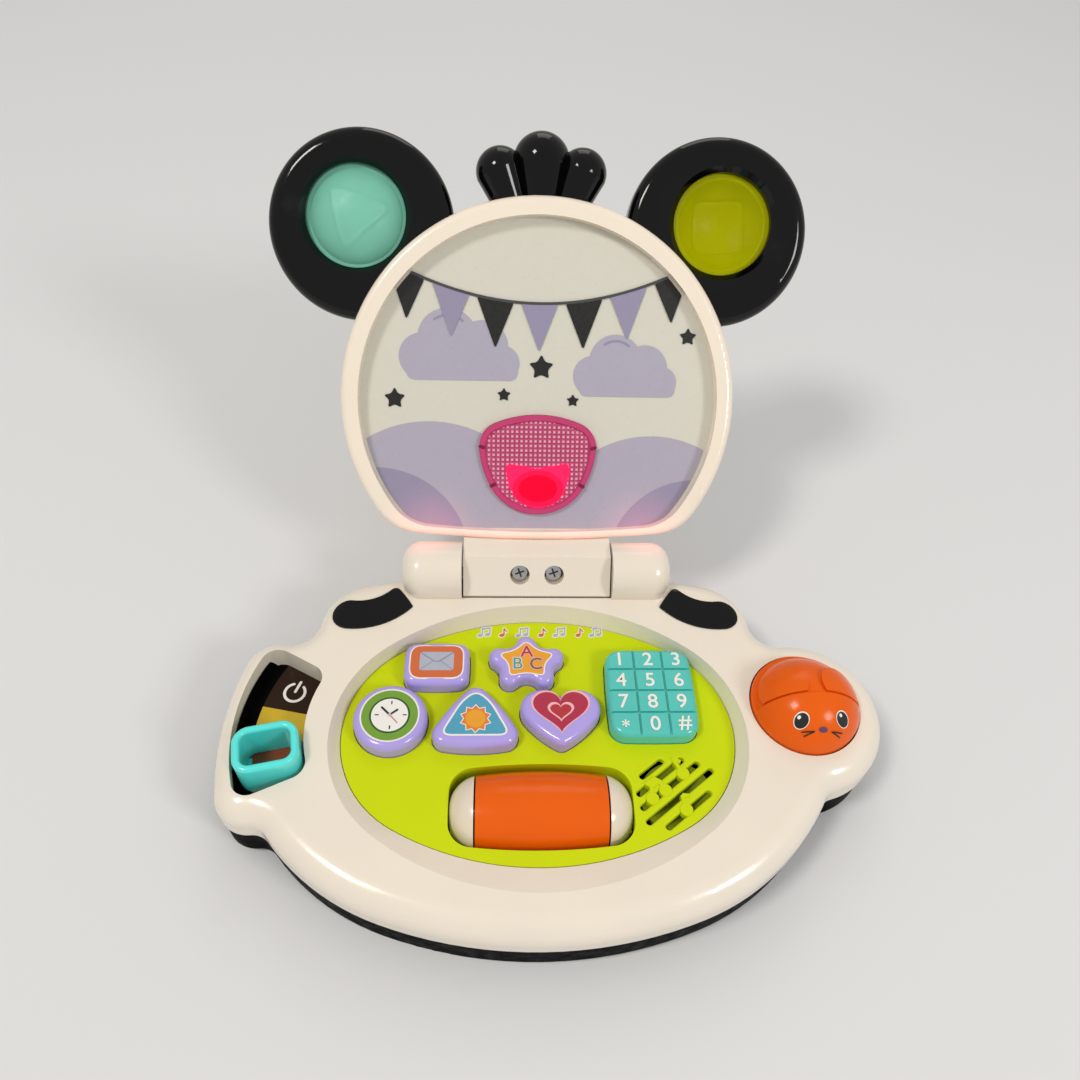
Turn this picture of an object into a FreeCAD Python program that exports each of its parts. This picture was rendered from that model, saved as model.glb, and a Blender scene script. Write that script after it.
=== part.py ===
"""Toy laptop computer with a fold-down lid shaped like an animal's head.

Millimetres, +X to the user's right, +Y away from the user, +Z up.
The origin is on the table, under the middle of the keyboard panel.
The lid's pieces are drawn flat, with X across, Y up the lid and Z out of its face,
and are then leaned back about the hinge axis.
"""
import FreeCAD, Part
import math
import operator
import os
from types import SimpleNamespace

import Sketcher

V = FreeCAD.Vector
UP = V(0, 0, 1)

SIZES = {
    # Base outline: a bowed front, two shoulders behind, and bumps for the slider and the mouse
    "bow_x": 23.4,
    "bow_y": 24.8,
    "bow_radius": 95,
    "front_radius": 165.4,
    "shoulder_x": 65.5,
    "shoulder_y": 45,
    "shoulder_radius": 22.5,
    "back_radius": 350,
    "slider_bump_back_x": -101,
    "slider_bump_back_y": 25,
    "slider_bump_back_corner": 13.5,
    "slider_bump_side": 110,
    "slider_bump_front_x": -103.3,
    "slider_bump_front_y": -21.8,
    "slider_bump_front_corner": 12.3,
    "mouse_bump_y": 7,
    "mouse_bump_radius": 30.5,
    "front_blend": 8,
    "back_blend": 10,
    # Shells
    "parting_height": 17,
    "shell_wall": 2.6,
    "shell_tuck": 0.6,
    "floor_thickness": 2.5,
    "floor_edge": 4,
    "deck_height": 33.7,
    "deck_slope": 2.4,
    "deck_edge": 9,
    "roof_thickness": 2.8,
    "roof_margin": 6,
    "hollow_height": 22.4,
    "fit_gap": 0.3,
    # Keyboard panel and the bowl that it lies in
    "panel_half_width": 73.5,
    "panel_half_depth": 50.3,
    "panel_side_radius": 42,
    "panel_height": 27.4,
    "panel_thickness": 2.5,
    "panel_ledge": 3,
    "bowl_half_width": 77,
    "bowl_half_depth": 56.5,
    "bowl_centre_y": -3.5,
    "bowl_side_radius": 46,
    # Buttons
    "button_height": 6.6,
    "button_edge": 3,
    "button_flange": 0.75,
    "button_flange_thickness": 1.5,
    "button_plunger_radius": 3,
    "button_plunger_length": 1.5,
    "square_x": -39.4,
    "square_y": 27.2,
    "square_width": 25.2,
    "square_depth": 18.8,
    "square_corner": 4.5,
    "square_bulge": 90,
    "star_x": -4.5,
    "star_y": 28.2,
    "star_tip_circle": 11.3,
    "star_squash": 0.72,
    "star_tip": 4,
    "star_notch": 5,
    "round_x": -55.5,
    "round_y": 3.9,
    "round_radius": 13.7,
    "triangle_x": -23.9,
    "triangle_y": 2.2,
    "triangle_half_width": 10.9,
    "triangle_foot": 5.1,
    "triangle_peak": 9.6,
    "triangle_corner": 5,
    "triangle_bulge": 70,
    "heart_x": 8,
    "heart_y": 4.6,
    "heart_lobe_x": 7.2,
    "heart_lobe_y": 3,
    "heart_lobe": 8,
    "heart_point_y": -9.1,
    "heart_point": 3.6,
    "heart_side": 40,
    "heart_cleft": 2.6,
    # Number pad
    "pad_x": 43,
    "pad_y": 14.3,
    "pad_width": 33.4,
    "pad_depth": 37.8,
    "pad_corner": 6,
    "pad_bulge": 300,
    "pad_edge": 2.4,
    "pad_groove_width": 0.9,
    "pad_groove_depth": 1.1,
    # Roller in its cradle
    "roller_y": -28.7,
    "roller_drop": 6.6,
    "roller_length": 46.5,
    "roller_radius": 14.6,
    "roller_end_radius": 13.2,
    "roller_crown": 180,
    "roller_clearance": 0.6,
    "axle_radius": 2,
    "axle_clearance": 0.05,
    "axle_length": 58,
    "cap_length": 9,
    "window_corner": 9,
    "window_bulge": 220,
    "cap_nose_radius": 4,
    "cap_crown": 12,
    "cradle_half_depth": 15.6,
    "cradle_floor": 1.6,
    "cradle_post_half_depth": 7,
    # Speaker slots
    "grille_x": 49.5,
    "grille_y": -24.8,
    "grille_angle": 37.7,
    "grille_slot_radius": 1.2,
    "grille_slot_edge": 0.8,
    "note_head": 2.3,
    "note_bar": 1.4,
    "note_height": 0.3,
    "speaker_radius": 13.6,
    "speaker_frame": 2,
    "speaker_magnet_radius": 8,
    "speaker_depth": 9,
    # Slider
    "slider_pivot_x": -42,
    "slider_pivot_y": 0.4,
    "slider_rest_angle": 11.8,
    "slider_swing": 28.5,
    "slider_radius": 56.4,
    "slider_ring_long": 23,
    "slider_ring_short": 18,
    "slider_ring_wall": 2.8,
    "slider_ring_corner": 6,
    "slider_ring_top": 40,
    "slider_edge": 1.35,
    "recess_inner": 44,
    "recess_outer": 70,
    "recess_margin": 12.5,
    "recess_corner": 6,
    "tray_floor_height": 24,
    "tray_flange": 2.5,
    "tray_flange_thickness": 2,
    "track_radius": 65.2,
    "track_width": 4,
    "neck_width": 3,
    "neck_length": 9,
    "lever_height": 9,
    "lever_thickness": 3,
    "lever_width": 9,
    "lever_hub": 6.5,
    "pivot_post": 5,
    "pivot_pin": 2.5,
    # Mouse button
    "mouse_x": 101,
    "mouse_y": 8,
    "mouse_radius": 20.5,
    "mouse_gap": 0.5,
    "mouse_skirt": 35,
    "mouse_top": 50,
    "mouse_flange": 2.2,
    "mouse_flange_thickness": 1.6,
    "mouse_wall": 2.2,
    "mouse_travel": 2.5,
    "mouse_seat": 27,
    "mouse_stem": 4,
    "mouse_relief": 1.2,
    "mouse_relief_foot": 36,
    "mouse_crease_y": -3.1,
    "mouse_crease_width": 0.9,
    "mouse_ear_x": 10.6,
    "mouse_ear_y": 0.8,
    "mouse_ear": 8,
    # Shoulder inlays
    "inlay_tip_x": 51.3,
    "inlay_tip_y": 52.5,
    "inlay_tip": 1,
    "inlay_front": 30,
    "inlay_lobe_x": 75.3,
    "inlay_lobe_y": 48.5,
    "inlay_lobe": 6.7,
    "inlay_dip": 18,
    "inlay_corner_x": 57.6,
    "inlay_corner_y": 59.2,
    "inlay_corner": 2.2,
    "inlay_side": 60,
    "inlay_depth": 4,
    "inlay_proud": 0.6,
    # Hinge
    "hinge_y": 67.5,
    "hinge_height": 40,
    "barrel_radius": 12.2,
    "barrel_outer": 55,
    "barrel_inner": 30.6,
    "barrel_edge": 8,
    "knuckle_half_width": 30,
    "knuckle_radius": 10.9,
    "knuckle_flat": 6.5,
    "notch_radius": 11.5,
    "pin_radius": 2,
    "pin_clearance": 0.05,
    "pin_inner": 14,
    "pin_outer": 49,
    "knuckle_screw_x": 7,
    "knuckle_screw_head": 3.1,
    "knuckle_screw_bore": 4,
    "knuckle_screw_depth": 1.8,
    "knuckle_screw_recess": 4.4,
    "knuckle_face_top": 7.5,
    "knuckle_screw_shank": 1.3,
    "knuckle_screw_length": 8,
    # Lid
    "lid_lean": 52.4,
    "lid_radius": 79,
    "lid_centre": 69.2,
    "lid_bottom": 13.1,
    "lid_corner": 20,
    "lid_bottom_radius": 500,
    "lid_front": -0.6,
    "lid_parting": -10.9,
    "lid_back": -20.9,
    "lid_wall": 2.4,
    "lid_front_edge": 2.8,
    "lid_back_edge": 7,
    "screen_border": 7,
    "screen_drop": 0.4,
    "screen_sill": 3.5,
    "screen_face": -6.4,
    "screen_thickness": 2,
    "screen_lap": 2.4,
    # Light lens
    "lens_corner_x": 13.4,
    "lens_corner_y": 50.8,
    "lens_corner": 10.6,
    "lens_foot_y": 45.2,
    "lens_foot": 22,
    "lens_top_radius": 45,
    "lens_side_radius": 40,
    "lens_front": -4.1,
    "lens_edge": 1.2,
    "lens_flange": 2,
    "lens_flange_thickness": 1.5,
    "lamp_x": 0,
    "lamp_y": 39.2,
    "lamp_radius": 2.5,
    "lamp_board_width": 26,
    "lamp_board_depth": 18,
    "lamp_board_thickness": 1.6,
    "lamp_post": 3,
    # Ears
    "ear_angle": 43.9,
    "ear_reach": 17.8,
    "ear_radius": 36,
    "ear_front": -4.4,
    "ear_middle": -11.9,
    "ear_back": -19.4,
    "ear_edge": 5,
    "ear_opening_out": 2.5,
    "ear_opening_up": 3.7,
    "ear_dish_radius": 27,
    "ear_bevel_radius": 21.5,
    "ear_bore": 19.5,
    "ear_dish_depth": 2.2,
    "ear_bevel_depth": 4.4,
    "bubble_radius": 18,
    "bubble_height": 8,
    "bubble_wall": 1.2,
    "bubble_flange": 21.6,
    "bubble_flange_thickness": 1.4,
    # Tuft
    "tuft_depth": -10.4,
    "tuft_middle_rise": 13.5,
    "tuft_middle_radius": 11.2,
    "tuft_side_x": 16,
    "tuft_side_rise": 9.5,
    "tuft_side_radius": 9.6,
    "tuft_root_x": 8,
    "tuft_root_sink": 11,
    "tuft_root_radius": 5.5,
    # Power
    "cell_radius": 5.2,
    "cell_length": 43.3,
    "cell_nub_radius": 1.9,
    "cell_nub_length": 1,
    "cell_pitch": 11.2,
    "bay_y": 49.5,
    "bay_half_width": 23.25,
    "bay_half_depth": 17.2,
    "bay_height": 13.2,
    "bay_wall": 1.5,
    "contact_size": 7,
    "contact_thickness": 0.6,
    "door_margin": 2.5,
    "door_thickness": 2,
    "door_recess": 0.4,
    "door_tab": 7,
    "door_screw_head": 2.6,
    "door_screw_shank": 1.4,
    "door_screw_length": 8,
    # Circuit board and key mat
    "board_height": 15,
    "board_thickness": 1.6,
    "board_left": -68,
    "board_right": 61,
    "board_front": -9,
    "board_back": 31,
    "board_post": 3,
    "mat_thickness": 1,
    "mat_dome_radius": 4.5,
    "mat_dome_height": 1.4,
    # Case and lid screws
    "boss_radius": 4,
    "screw_head": 2.8,
    "screw_shank": 1.4,
    "screw_recess": 6,
    "screw_bite": 5,
    "screw_head_height": 2,
    "lid_screw_recess": 3.5,
    "lid_boss_length": 3.5,
}

# Screw places as (x, y) in the base, and in the lid as (angle about its centre, distance in from its edge)
CASE_SCREWS = [(-48, -57), (48, -57), (-78, -38), (84, -31), (-66, 47), (66, 47)]
LID_SCREWS = [(-148.2, 17.8), (-31.8, 17.8), (156, 15.5), (24, 15.5), (90, 17.2)]
BOARD_POSTS = [(-30, 26), (56, 26), (56, -4), (-16, -4)]

# Speaker slots as (start, end, place across) along their slant, and the notes that bridge them
GRILLE_SLOTS = [(-5.3, 3.8, 13.3), (-10.7, 10.1, 9.1), (-13.2, 13.6, 4.4), (-15.2, 15.7, -0.7),
                (-11, 8.9, -6.3)]
NOTE_HEADS = [(-9.6, -1.6), (-4.6, 1.5), (2.6, 8), (2, -5.8)]
NOTE_TOPS = [(-9.6, 3.3), (-6.5, 4.9), (-0.7, 14.1), (1.2, -0.3)]
NOTE_BEAM = [(-12.4, 4.2), (-9.4, 2.2), (-5.3, 5.1), (-8.2, 6.8)]
NOTE_FLAGS = [((-0.7, 14.1), (2.2, 12.5)), ((1.2, -0.3), (3.7, -0.6))]

doc = FreeCAD.newDocument("toy_laptop")
sheet = doc.addObject("Spreadsheet::Sheet", "dims")
for row, (alias, number) in enumerate(SIZES.items(), start=1):
    sheet.set(f"A{row}", alias)
    sheet.set(f"B{row}", str(number))
    sheet.setAlias(f"B{row}", alias)
doc.recompute()


class Size:
    """A size held both as a number and as an expression over the sheet."""

    def __init__(self, value, text):
        self.value = value
        self.text = text

    def __add__(self, other):
        return combine(operator.add, self, "+", other)

    def __radd__(self, other):
        return combine(operator.add, other, "+", self)

    def __sub__(self, other):
        return combine(operator.sub, self, "-", other)

    def __rsub__(self, other):
        return combine(operator.sub, other, "-", self)

    def __mul__(self, other):
        return combine(operator.mul, self, "*", other)

    def __rmul__(self, other):
        return combine(operator.mul, other, "*", self)

    def __truediv__(self, other):
        return combine(operator.truediv, self, "/", other)

    def __neg__(self):
        return Size(-self.value, f"(-1 * {self.text})")


def size(thing):
    return thing if isinstance(thing, Size) else Size(float(thing), f"({float(thing)})")


def combine(rule, left, sign, right):
    left, right = size(left), size(right)
    return Size(rule(left.value, right.value), f"({left.text} {sign} {right.text})")


def root(thing):
    return Size(math.sqrt(thing.value), f"sqrt({thing.text})")


def sine(degrees):
    degrees = size(degrees)
    return Size(math.sin(math.radians(degrees.value)), f"sin({degrees.text})")


def cosine(degrees):
    degrees = size(degrees)
    return Size(math.cos(math.radians(degrees.value)), f"cos({degrees.text})")


d = SimpleNamespace(**{alias: Size(number, f"dims.{alias}") for alias, number in SIZES.items()})
ORIGIN = (0, 0)
HALF = (None, 1, False)


def bind(obj, path, thing):
    obj.setExpression(path, size(thing).text)


def place(obj, x=0, y=0, z=0, turn=None, axis=UP):
    """Puts an object at a place bound to the sheet, turned about an axis."""
    if turn is not None:
        obj.Placement = FreeCAD.Placement(V(), FreeCAD.Rotation(axis, size(turn).value))
        bind(obj, "Placement.Rotation.Angle", turn)
    for name, thing in zip("xyz", (x, y, z)):
        bind(obj, f"Placement.Base.{name}", thing)


def on_lid(obj, x=0, y=0, z=0):
    """Leans a piece drawn on the lid's own plane back about the hinge axis."""
    across = size(y) * cosine(d.lid_lean) - size(z) * sine(d.lid_lean)
    rise = size(y) * sine(d.lid_lean) + size(z) * cosine(d.lid_lean)
    place(obj, x, d.hinge_y + across, d.hinge_height + rise, d.lid_lean, V(1, 0, 0))


# Sketches whose sizes are bound to the sheet


class Arc:
    """One arc of a smooth outline: radius, centre, turn (1 bulges out, -1 in) and held coordinates."""

    def __init__(self, radius, x=None, y=None, turn=1, held="xy"):
        self.radius = size(radius)
        self.x = None if x is None else size(x)
        self.y = None if y is None else size(y)
        self.turn = turn
        self.held = held if x is not None else ""

    def centre(self):
        return V(self.x.value, self.y.value, 0)


def blend_centre(arc, before, after):
    """Centre of an arc that runs smoothly from one neighbour into the next."""
    start, end = before.centre(), after.centre()
    reach = []
    for other in (before, after):
        same = other.turn == arc.turn
        reach.append(abs(other.radius.value - arc.radius.value) if same
                     else other.radius.value + arc.radius.value)
    span = (end - start).Length
    along = (span ** 2 + reach[0] ** 2 - reach[1] ** 2) / (2 * span)
    out = math.sqrt(reach[0] ** 2 - along ** 2)
    ahead = (end - start).normalize()
    left = V(-ahead.y, ahead.x, 0)
    return start + ahead * along + left * (out * arc.turn)


def contact(first, centre_one, second, centre_two):
    """Point where two neighbouring arcs touch."""
    ahead = (centre_two - centre_one).normalize()
    inside = first.turn == second.turn and first.radius.value < second.radius.value
    return centre_one + ahead * (first.radius.value * (-1 if inside else 1))


class Sketch:
    """A sketch on one of its body's origin planes, drawn with bound sizes."""

    def __init__(self, body, plane="XY_Plane", lift=0, slope=None, spin=None, shift=ORIGIN):
        self.obj = body.newObject("Sketcher::SketchObject", f"{body.Name}_sketch")
        origin = next(f for f in body.Origin.OriginFeatures if f.Role == plane)
        self.obj.AttachmentSupport = [(origin, "")]
        self.obj.MapMode = "FlatFace"
        if slope is not None or spin is not None:
            angle = slope if slope is not None else spin
            axis = V(1, 0, 0) if slope is not None else UP
            self.obj.AttachmentOffset = FreeCAD.Placement(V(), FreeCAD.Rotation(axis, size(angle).value))
            bind(self.obj, "AttachmentOffset.Rotation.Angle", angle)
        for name, thing in zip("xyz", (*shift, lift)):
            bind(self.obj, f"AttachmentOffset.Base.{name}", thing)

    def hold(self, kind, *where):
        """Adds one constraint whose last value is a size."""
        *where, thing = where
        thing = size(thing)
        index = self.obj.addConstraint(Sketcher.Constraint(kind, *where, thing.value))
        self.obj.renameConstraint(index, f"size_{index}")
        self.obj.setExpression(f"Constraints.size_{index}", thing.text)

    def hold_point(self, shape, point, x, y):
        self.hold("DistanceX", -1, 1, shape, point, x)
        self.hold("DistanceY", -1, 1, shape, point, y)

    def circle(self, x, y, radius):
        x, y, radius = size(x), size(y), size(radius)
        shape = self.obj.addGeometry(Part.Circle(V(x.value, y.value, 0), UP, radius.value))
        self.hold_point(shape, 3, x, y)
        self.hold("Radius", shape, radius)
        return self

    def circles(self, places, radius):
        for x, y in places:
            self.circle(x, y, radius)
        return self

    def hold_middle(self, shape, start, end):
        """Keeps a half circle's centre midway between its ends."""
        flat = abs(end[1].value - start[1].value) < abs(end[0].value - start[0].value)
        axis = 1 if flat else 0
        self.hold("DistanceY" if flat else "DistanceX", -1, 1, shape, 3, (start[axis] + end[axis]) / 2)

    def loop(self, points, arcs=()):
        """Closed outline through points; arcs maps a side's number to (radius, turn, long way).

        A radius of None makes a half circle.
        """
        arcs = dict(arcs)
        corners = [(size(x), size(y)) for x, y in points]
        spots = [V(x.value, y.value, 0) for x, y in corners]
        ends = []
        for side, (start, end) in enumerate(zip(spots, spots[1:] + spots[:1])):
            if side not in arcs:
                ends.append((self.obj.addGeometry(Part.LineSegment(start, end)), 1, 2))
                continue
            radius, turn, long_way = arcs[side]
            half = (end - start) * 0.5
            left = V(-half.y, half.x, 0).normalize()
            out = math.sqrt(size(radius).value ** 2 - half.Length ** 2) if radius else 0
            middle = start + half + left * (out * turn * (-1 if long_way else 1))
            first, last = (start, end) if turn > 0 else (end, start)
            angles = [math.atan2(p.y - middle.y, p.x - middle.x) for p in (first, last)]
            circle = Part.Circle(middle, UP, (first - middle).Length)
            shape = self.obj.addGeometry(Part.ArcOfCircle(circle, *angles))
            if radius:
                self.hold("Radius", shape, radius)
            else:
                self.hold_middle(shape, corners[side], corners[(side + 1) % len(corners)])
            ends.append((shape, 1, 2) if turn > 0 else (shape, 2, 1))
        for side, (shape, start, _) in enumerate(ends):
            before, _, end = ends[side - 1]
            self.obj.addConstraint(Sketcher.Constraint("Coincident", before, end, shape, start))
            self.hold_point(shape, start, *corners[side])
        return self

    def box(self, x, y, width, depth):
        """Rectangle about its centre."""
        x, y, width, depth = size(x), size(y), size(width), size(depth)
        near, far = y - depth / 2, y + depth / 2
        left, right = x - width / 2, x + width / 2
        return self.loop([(left, near), (right, near), (right, far), (left, far)])

    def smooth(self, arcs, grow=0):
        """Closed outline of arcs that run smoothly into each other, grown outwards by a size."""
        grow = size(grow)
        arcs = [Arc(a.radius + a.turn * grow, a.x, a.y, a.turn, a.held) for a in arcs]
        centres = [a.centre() if a.x is not None else
                   blend_centre(a, arcs[i - 1], arcs[(i + 1) % len(arcs)]) for i, a in enumerate(arcs)]
        ends = []
        for i, arc in enumerate(arcs):
            after = (i + 1) % len(arcs)
            entry = contact(arcs[i - 1], centres[i - 1], arc, centres[i])
            leave = contact(arc, centres[i], arcs[after], centres[after])
            first, last = (entry, leave) if arc.turn > 0 else (leave, entry)
            angles = [math.atan2(p.y - centres[i].y, p.x - centres[i].x) for p in (first, last)]
            circle = Part.Circle(centres[i], UP, arc.radius.value)
            shape = self.obj.addGeometry(Part.ArcOfCircle(circle, *angles))
            ends.append((shape, 1, 2) if arc.turn > 0 else (shape, 2, 1))
        for i, (shape, start, _) in enumerate(ends):
            before, _, end = ends[i - 1]
            self.obj.addConstraint(Sketcher.Constraint("Tangent", before, end, shape, start))
        for arc, (shape, _, _) in zip(arcs, ends):
            self.hold("Radius", shape, arc.radius)
            if "x" in arc.held:
                self.hold("DistanceX", -1, 1, shape, 3, arc.x)
            if "y" in arc.held:
                self.hold("DistanceY", -1, 1, shape, 3, arc.y)
        return self

    def sector(self, x, y, inner, outer, start, end, corner):
        """Part of a ring about a centre, between two angles in degrees, with round corners."""
        sides, rims = {}, {}
        for angle, way in ((start, 1), (end, -1)):
            for rim, inside in ((outer, outer - corner), (inner, inner + corner)):
                reach = root(inside * inside - corner * corner)
                share = rim / inside
                off = corner * way
                sides[way, rim] = (x + cosine(angle) * reach, y + sine(angle) * reach)
                rims[way, rim] = (x + (cosine(angle) * reach - sine(angle) * off) * share,
                                  y + (sine(angle) * reach + cosine(angle) * off) * share)
        points = [rims[1, outer], rims[-1, outer], sides[-1, outer], sides[-1, inner],
                  rims[-1, inner], rims[1, inner], sides[1, inner], sides[1, outer]]
        arcs = {side: (corner, 1, False) for side in (1, 3, 5, 7)}
        arcs[0] = (outer, 1, False)
        arcs[4] = (inner, -1, False)
        return self.loop(points, arcs)


# Features of a body


def new_body(label):
    body = doc.addObject("PartDesign::Body", label)
    body.Label = label
    return body


def feature(body, kind, sketch):
    made = body.newObject(f"PartDesign::{kind}", f"{body.Name}_{kind.lower()}")
    made.Profile = sketch.obj
    return made


def pad(body, sketch, length, down=False):
    made = feature(body, "Pad", sketch)
    bind(made, "Length", length)
    made.Reversed = down
    doc.recompute()
    return made


def pocket(body, sketch, length, up=False):
    """Cuts a sketch's outline out of the body, down from the sketch or up from it."""
    before = body.Shape.Volume
    made = feature(body, "Pocket", sketch)
    bind(made, "Length", length)
    made.Reversed = up
    doc.recompute()
    if body.Shape.Volume >= before:
        raise ValueError(f"{made.Name} cuts nothing")
    return made


def turned(body, sketch, axis, kind="Revolution"):
    made = feature(body, kind, sketch)
    made.ReferenceAxis = (sketch.obj, [axis])
    made.Angle = 360
    doc.recompute()
    return made


def mirrored(body, features, plane="YZ_Plane"):
    made = body.newObject("PartDesign::Mirrored", f"{body.Name}_mirrored")
    made.Originals = features
    made.MirrorPlane = (next(f for f in body.Origin.OriginFeatures if f.Role == plane), [""])
    body.Tip = made
    doc.recompute()


def rounded(body, test, radius):
    """Rounds the edges that pass a test."""
    doc.recompute()
    names = [f"Edge{i}" for i, edge in enumerate(body.Tip.Shape.Edges, start=1) if test(edge)]
    if not names:
        raise ValueError(f"{body.Label} has no edge to round")
    made = body.newObject("PartDesign::Fillet", f"{body.Name}_fillet")
    made.Base = (body.Tip if made != body.Tip else made.BaseFeature, names)
    bind(made, "Radius", radius)
    doc.recompute()


def cut(label, base, tool):
    """One solid less another."""
    made = doc.addObject("Part::Cut", label)
    made.Label = label
    made.Base = base
    made.Tool = tool
    return made


def level(height):
    """Test for edges that lie at one height."""
    height = size(height).value
    return lambda edge: all(abs(v.Z - height) < 1e-4 for v in edge.Vertexes)


def upright(edge):
    """Test for edges that stand straight up."""
    if len(edge.Vertexes) != 2 or not isinstance(edge.Curve, Part.Line):
        return False
    ahead = edge.Vertexes[1].Point - edge.Vertexes[0].Point
    return abs(ahead.x) < 1e-4 and abs(ahead.y) < 1e-4


def on_slope(start, proud=0):
    """Test for edges in a plane that slopes like the deck, proud of one that starts at a height."""
    slope = math.radians(d.deck_slope.value)
    middle = size(start).value + size(proud).value / math.cos(slope)
    return lambda edge: all(abs(v.Z - middle - v.Y * math.tan(slope)) < 1e-4 for v in edge.Vertexes)


# Solids of revolution and boxes that need no sketch


def cylinder(name, radius, height, x=0, y=0, z=0, turn=None, axis=V(0, 1, 0)):
    made = doc.addObject("Part::Cylinder", name)
    bind(made, "Radius", radius)
    bind(made, "Height", height)
    place(made, x, y, z, turn, axis)
    return made


def fused(label, shapes):
    """One node made of several solids, joined where they touch."""
    made = doc.addObject("Part::MultiFuse", label)
    made.Label = label
    made.Shapes = shapes
    return made


# Outlines shared by pieces that fit together


def oval(half_width, half_depth, side, centre_y=0):
    """Smooth oval of two side arcs and two long arcs."""
    offset = half_width - side
    long_radius = (offset * offset + half_depth * half_depth - side * side) / (2 * (half_depth - side))
    return [Arc(side, offset, centre_y), Arc(long_radius), Arc(side, -offset, centre_y), Arc(long_radius)]


def base_outline():
    """Whole outline of the base, counter-clockwise from the front."""
    return [
        Arc(d.front_radius),
        Arc(d.bow_radius, d.bow_x, d.bow_y),
        Arc(d.front_blend, turn=-1),
        Arc(d.mouse_bump_radius, d.mouse_x, d.mouse_bump_y),
        Arc(d.back_blend, turn=-1),
        Arc(d.shoulder_radius, d.shoulder_x, d.shoulder_y),
        Arc(d.back_radius),
        Arc(d.shoulder_radius, -d.shoulder_x, d.shoulder_y),
        Arc(d.back_blend, turn=-1),
        Arc(d.slider_bump_back_corner, d.slider_bump_back_x, d.slider_bump_back_y),
        Arc(d.slider_bump_side),
        Arc(d.slider_bump_front_corner, d.slider_bump_front_x, d.slider_bump_front_y),
        Arc(d.front_blend, turn=-1),
        Arc(d.bow_radius, -d.bow_x, d.bow_y),
    ]


def panel_outline():
    return oval(d.panel_half_width, d.panel_half_depth, d.panel_side_radius)


def bowl_outline():
    return oval(d.bowl_half_width, d.bowl_half_depth, d.bowl_side_radius, d.bowl_centre_y)


def head_outline(radius, centre, bottom):
    """Round head with a nearly straight lower edge."""
    corner = Arc(d.lid_corner)
    chin = Arc(d.lid_bottom_radius, 0, bottom + d.lid_bottom_radius)
    return [Arc(radius, 0, centre), corner, chin, corner]


def lid_outline():
    return head_outline(d.lid_radius, d.lid_centre, d.lid_bottom)


def screen_outline():
    return head_outline(d.lid_radius - d.screen_border, d.lid_centre - d.screen_drop,
                        d.lid_bottom + d.screen_sill)


def lid_screw_places():
    """The lid's screws, on its own plane."""
    return [((d.lid_radius - inset) * cosine(angle), d.lid_centre + (d.lid_radius - inset) * sine(angle))
            for angle, inset in LID_SCREWS]


def ear_centre(way):
    """Middle of an ear; way is -1 on the left and 1 on the right."""
    reach = d.lid_radius + d.ear_reach
    return reach * cosine(d.ear_angle) * way, d.lid_centre + reach * sine(d.ear_angle)


def ear_opening(way):
    x, y = ear_centre(way)
    return x + d.ear_opening_out * way, y + d.ear_opening_up


def lens_outline():
    side = Arc(d.lens_side_radius)
    return [
        Arc(d.lens_foot, 0, d.lens_foot_y),
        side,
        Arc(d.lens_corner, d.lens_corner_x, d.lens_corner_y),
        Arc(d.lens_top_radius),
        Arc(d.lens_corner, -d.lens_corner_x, d.lens_corner_y),
        side,
    ]


def pillow(width, depth, corner, bulge):
    """Rectangle with round corners and slightly bulging sides."""
    x = width / 2 - corner
    y = depth / 2 - corner
    arcs = []
    for way_x, way_y in ((1, -1), (1, 1), (-1, 1), (-1, -1)):
        arcs += [Arc(corner, x * way_x, y * way_y), Arc(bulge)]
    return arcs


def square_outline():
    return pillow(d.square_width, d.square_depth, d.square_corner, d.square_bulge)


def pad_outline():
    return pillow(d.pad_width, d.pad_depth, d.pad_corner, d.pad_bulge)


def star_outline():
    arcs = []
    for tip in range(5):
        angle = 90 + 72 * tip
        x, y = d.star_tip_circle * cosine(angle), d.star_tip_circle * d.star_squash * sine(angle)
        arcs += [Arc(d.star_tip, x, y), Arc(d.star_notch, turn=-1)]
    return arcs


def triangle_outline():
    corners = ((d.triangle_half_width, -d.triangle_foot), (0, d.triangle_peak),
               (-d.triangle_half_width, -d.triangle_foot))
    arcs = []
    for x, y in corners:
        arcs += [Arc(d.triangle_corner, x, y), Arc(d.triangle_bulge)]
    return arcs


def heart_outline():
    return [
        Arc(d.heart_point, 0, d.heart_point_y),
        Arc(d.heart_side),
        Arc(d.heart_lobe, d.heart_lobe_x, d.heart_lobe_y),
        Arc(d.heart_cleft, turn=-1),
        Arc(d.heart_lobe, -d.heart_lobe_x, d.heart_lobe_y),
        Arc(d.heart_side),
    ]


def shifted(arcs, x, y):
    """The same outline about another centre."""
    return [Arc(a.radius, None if a.x is None else a.x + x, None if a.y is None else a.y + y,
                a.turn, a.held) for a in arcs]


SHAPED_BUTTONS = {
    "square_button": (square_outline, d.square_x, d.square_y),
    "star_button": (star_outline, d.star_x, d.star_y),
    "triangle_button": (triangle_outline, d.triangle_x, d.triangle_y),
    "heart_button": (heart_outline, d.heart_x, d.heart_y),
}


def inlay_outline(way):
    """Leaf with a dip in its back edge; way is -1 on the left and 1 on the right."""
    arcs = [
        Arc(d.inlay_tip, d.inlay_tip_x * way, d.inlay_tip_y),
        Arc(d.inlay_front),
        Arc(d.inlay_lobe, d.inlay_lobe_x * way, d.inlay_lobe_y),
        Arc(d.inlay_dip, turn=-1),
        Arc(d.inlay_corner, d.inlay_corner_x * way, d.inlay_corner_y),
        Arc(d.inlay_side),
    ]
    return arcs if way > 0 else arcs[::-1]


def recess_angles(margin):
    """Start and end of the slider's recess, as angles about its pivot."""
    return (180 + d.slider_rest_angle - d.slider_swing - margin,
            180 + d.slider_rest_angle + margin)


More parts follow.
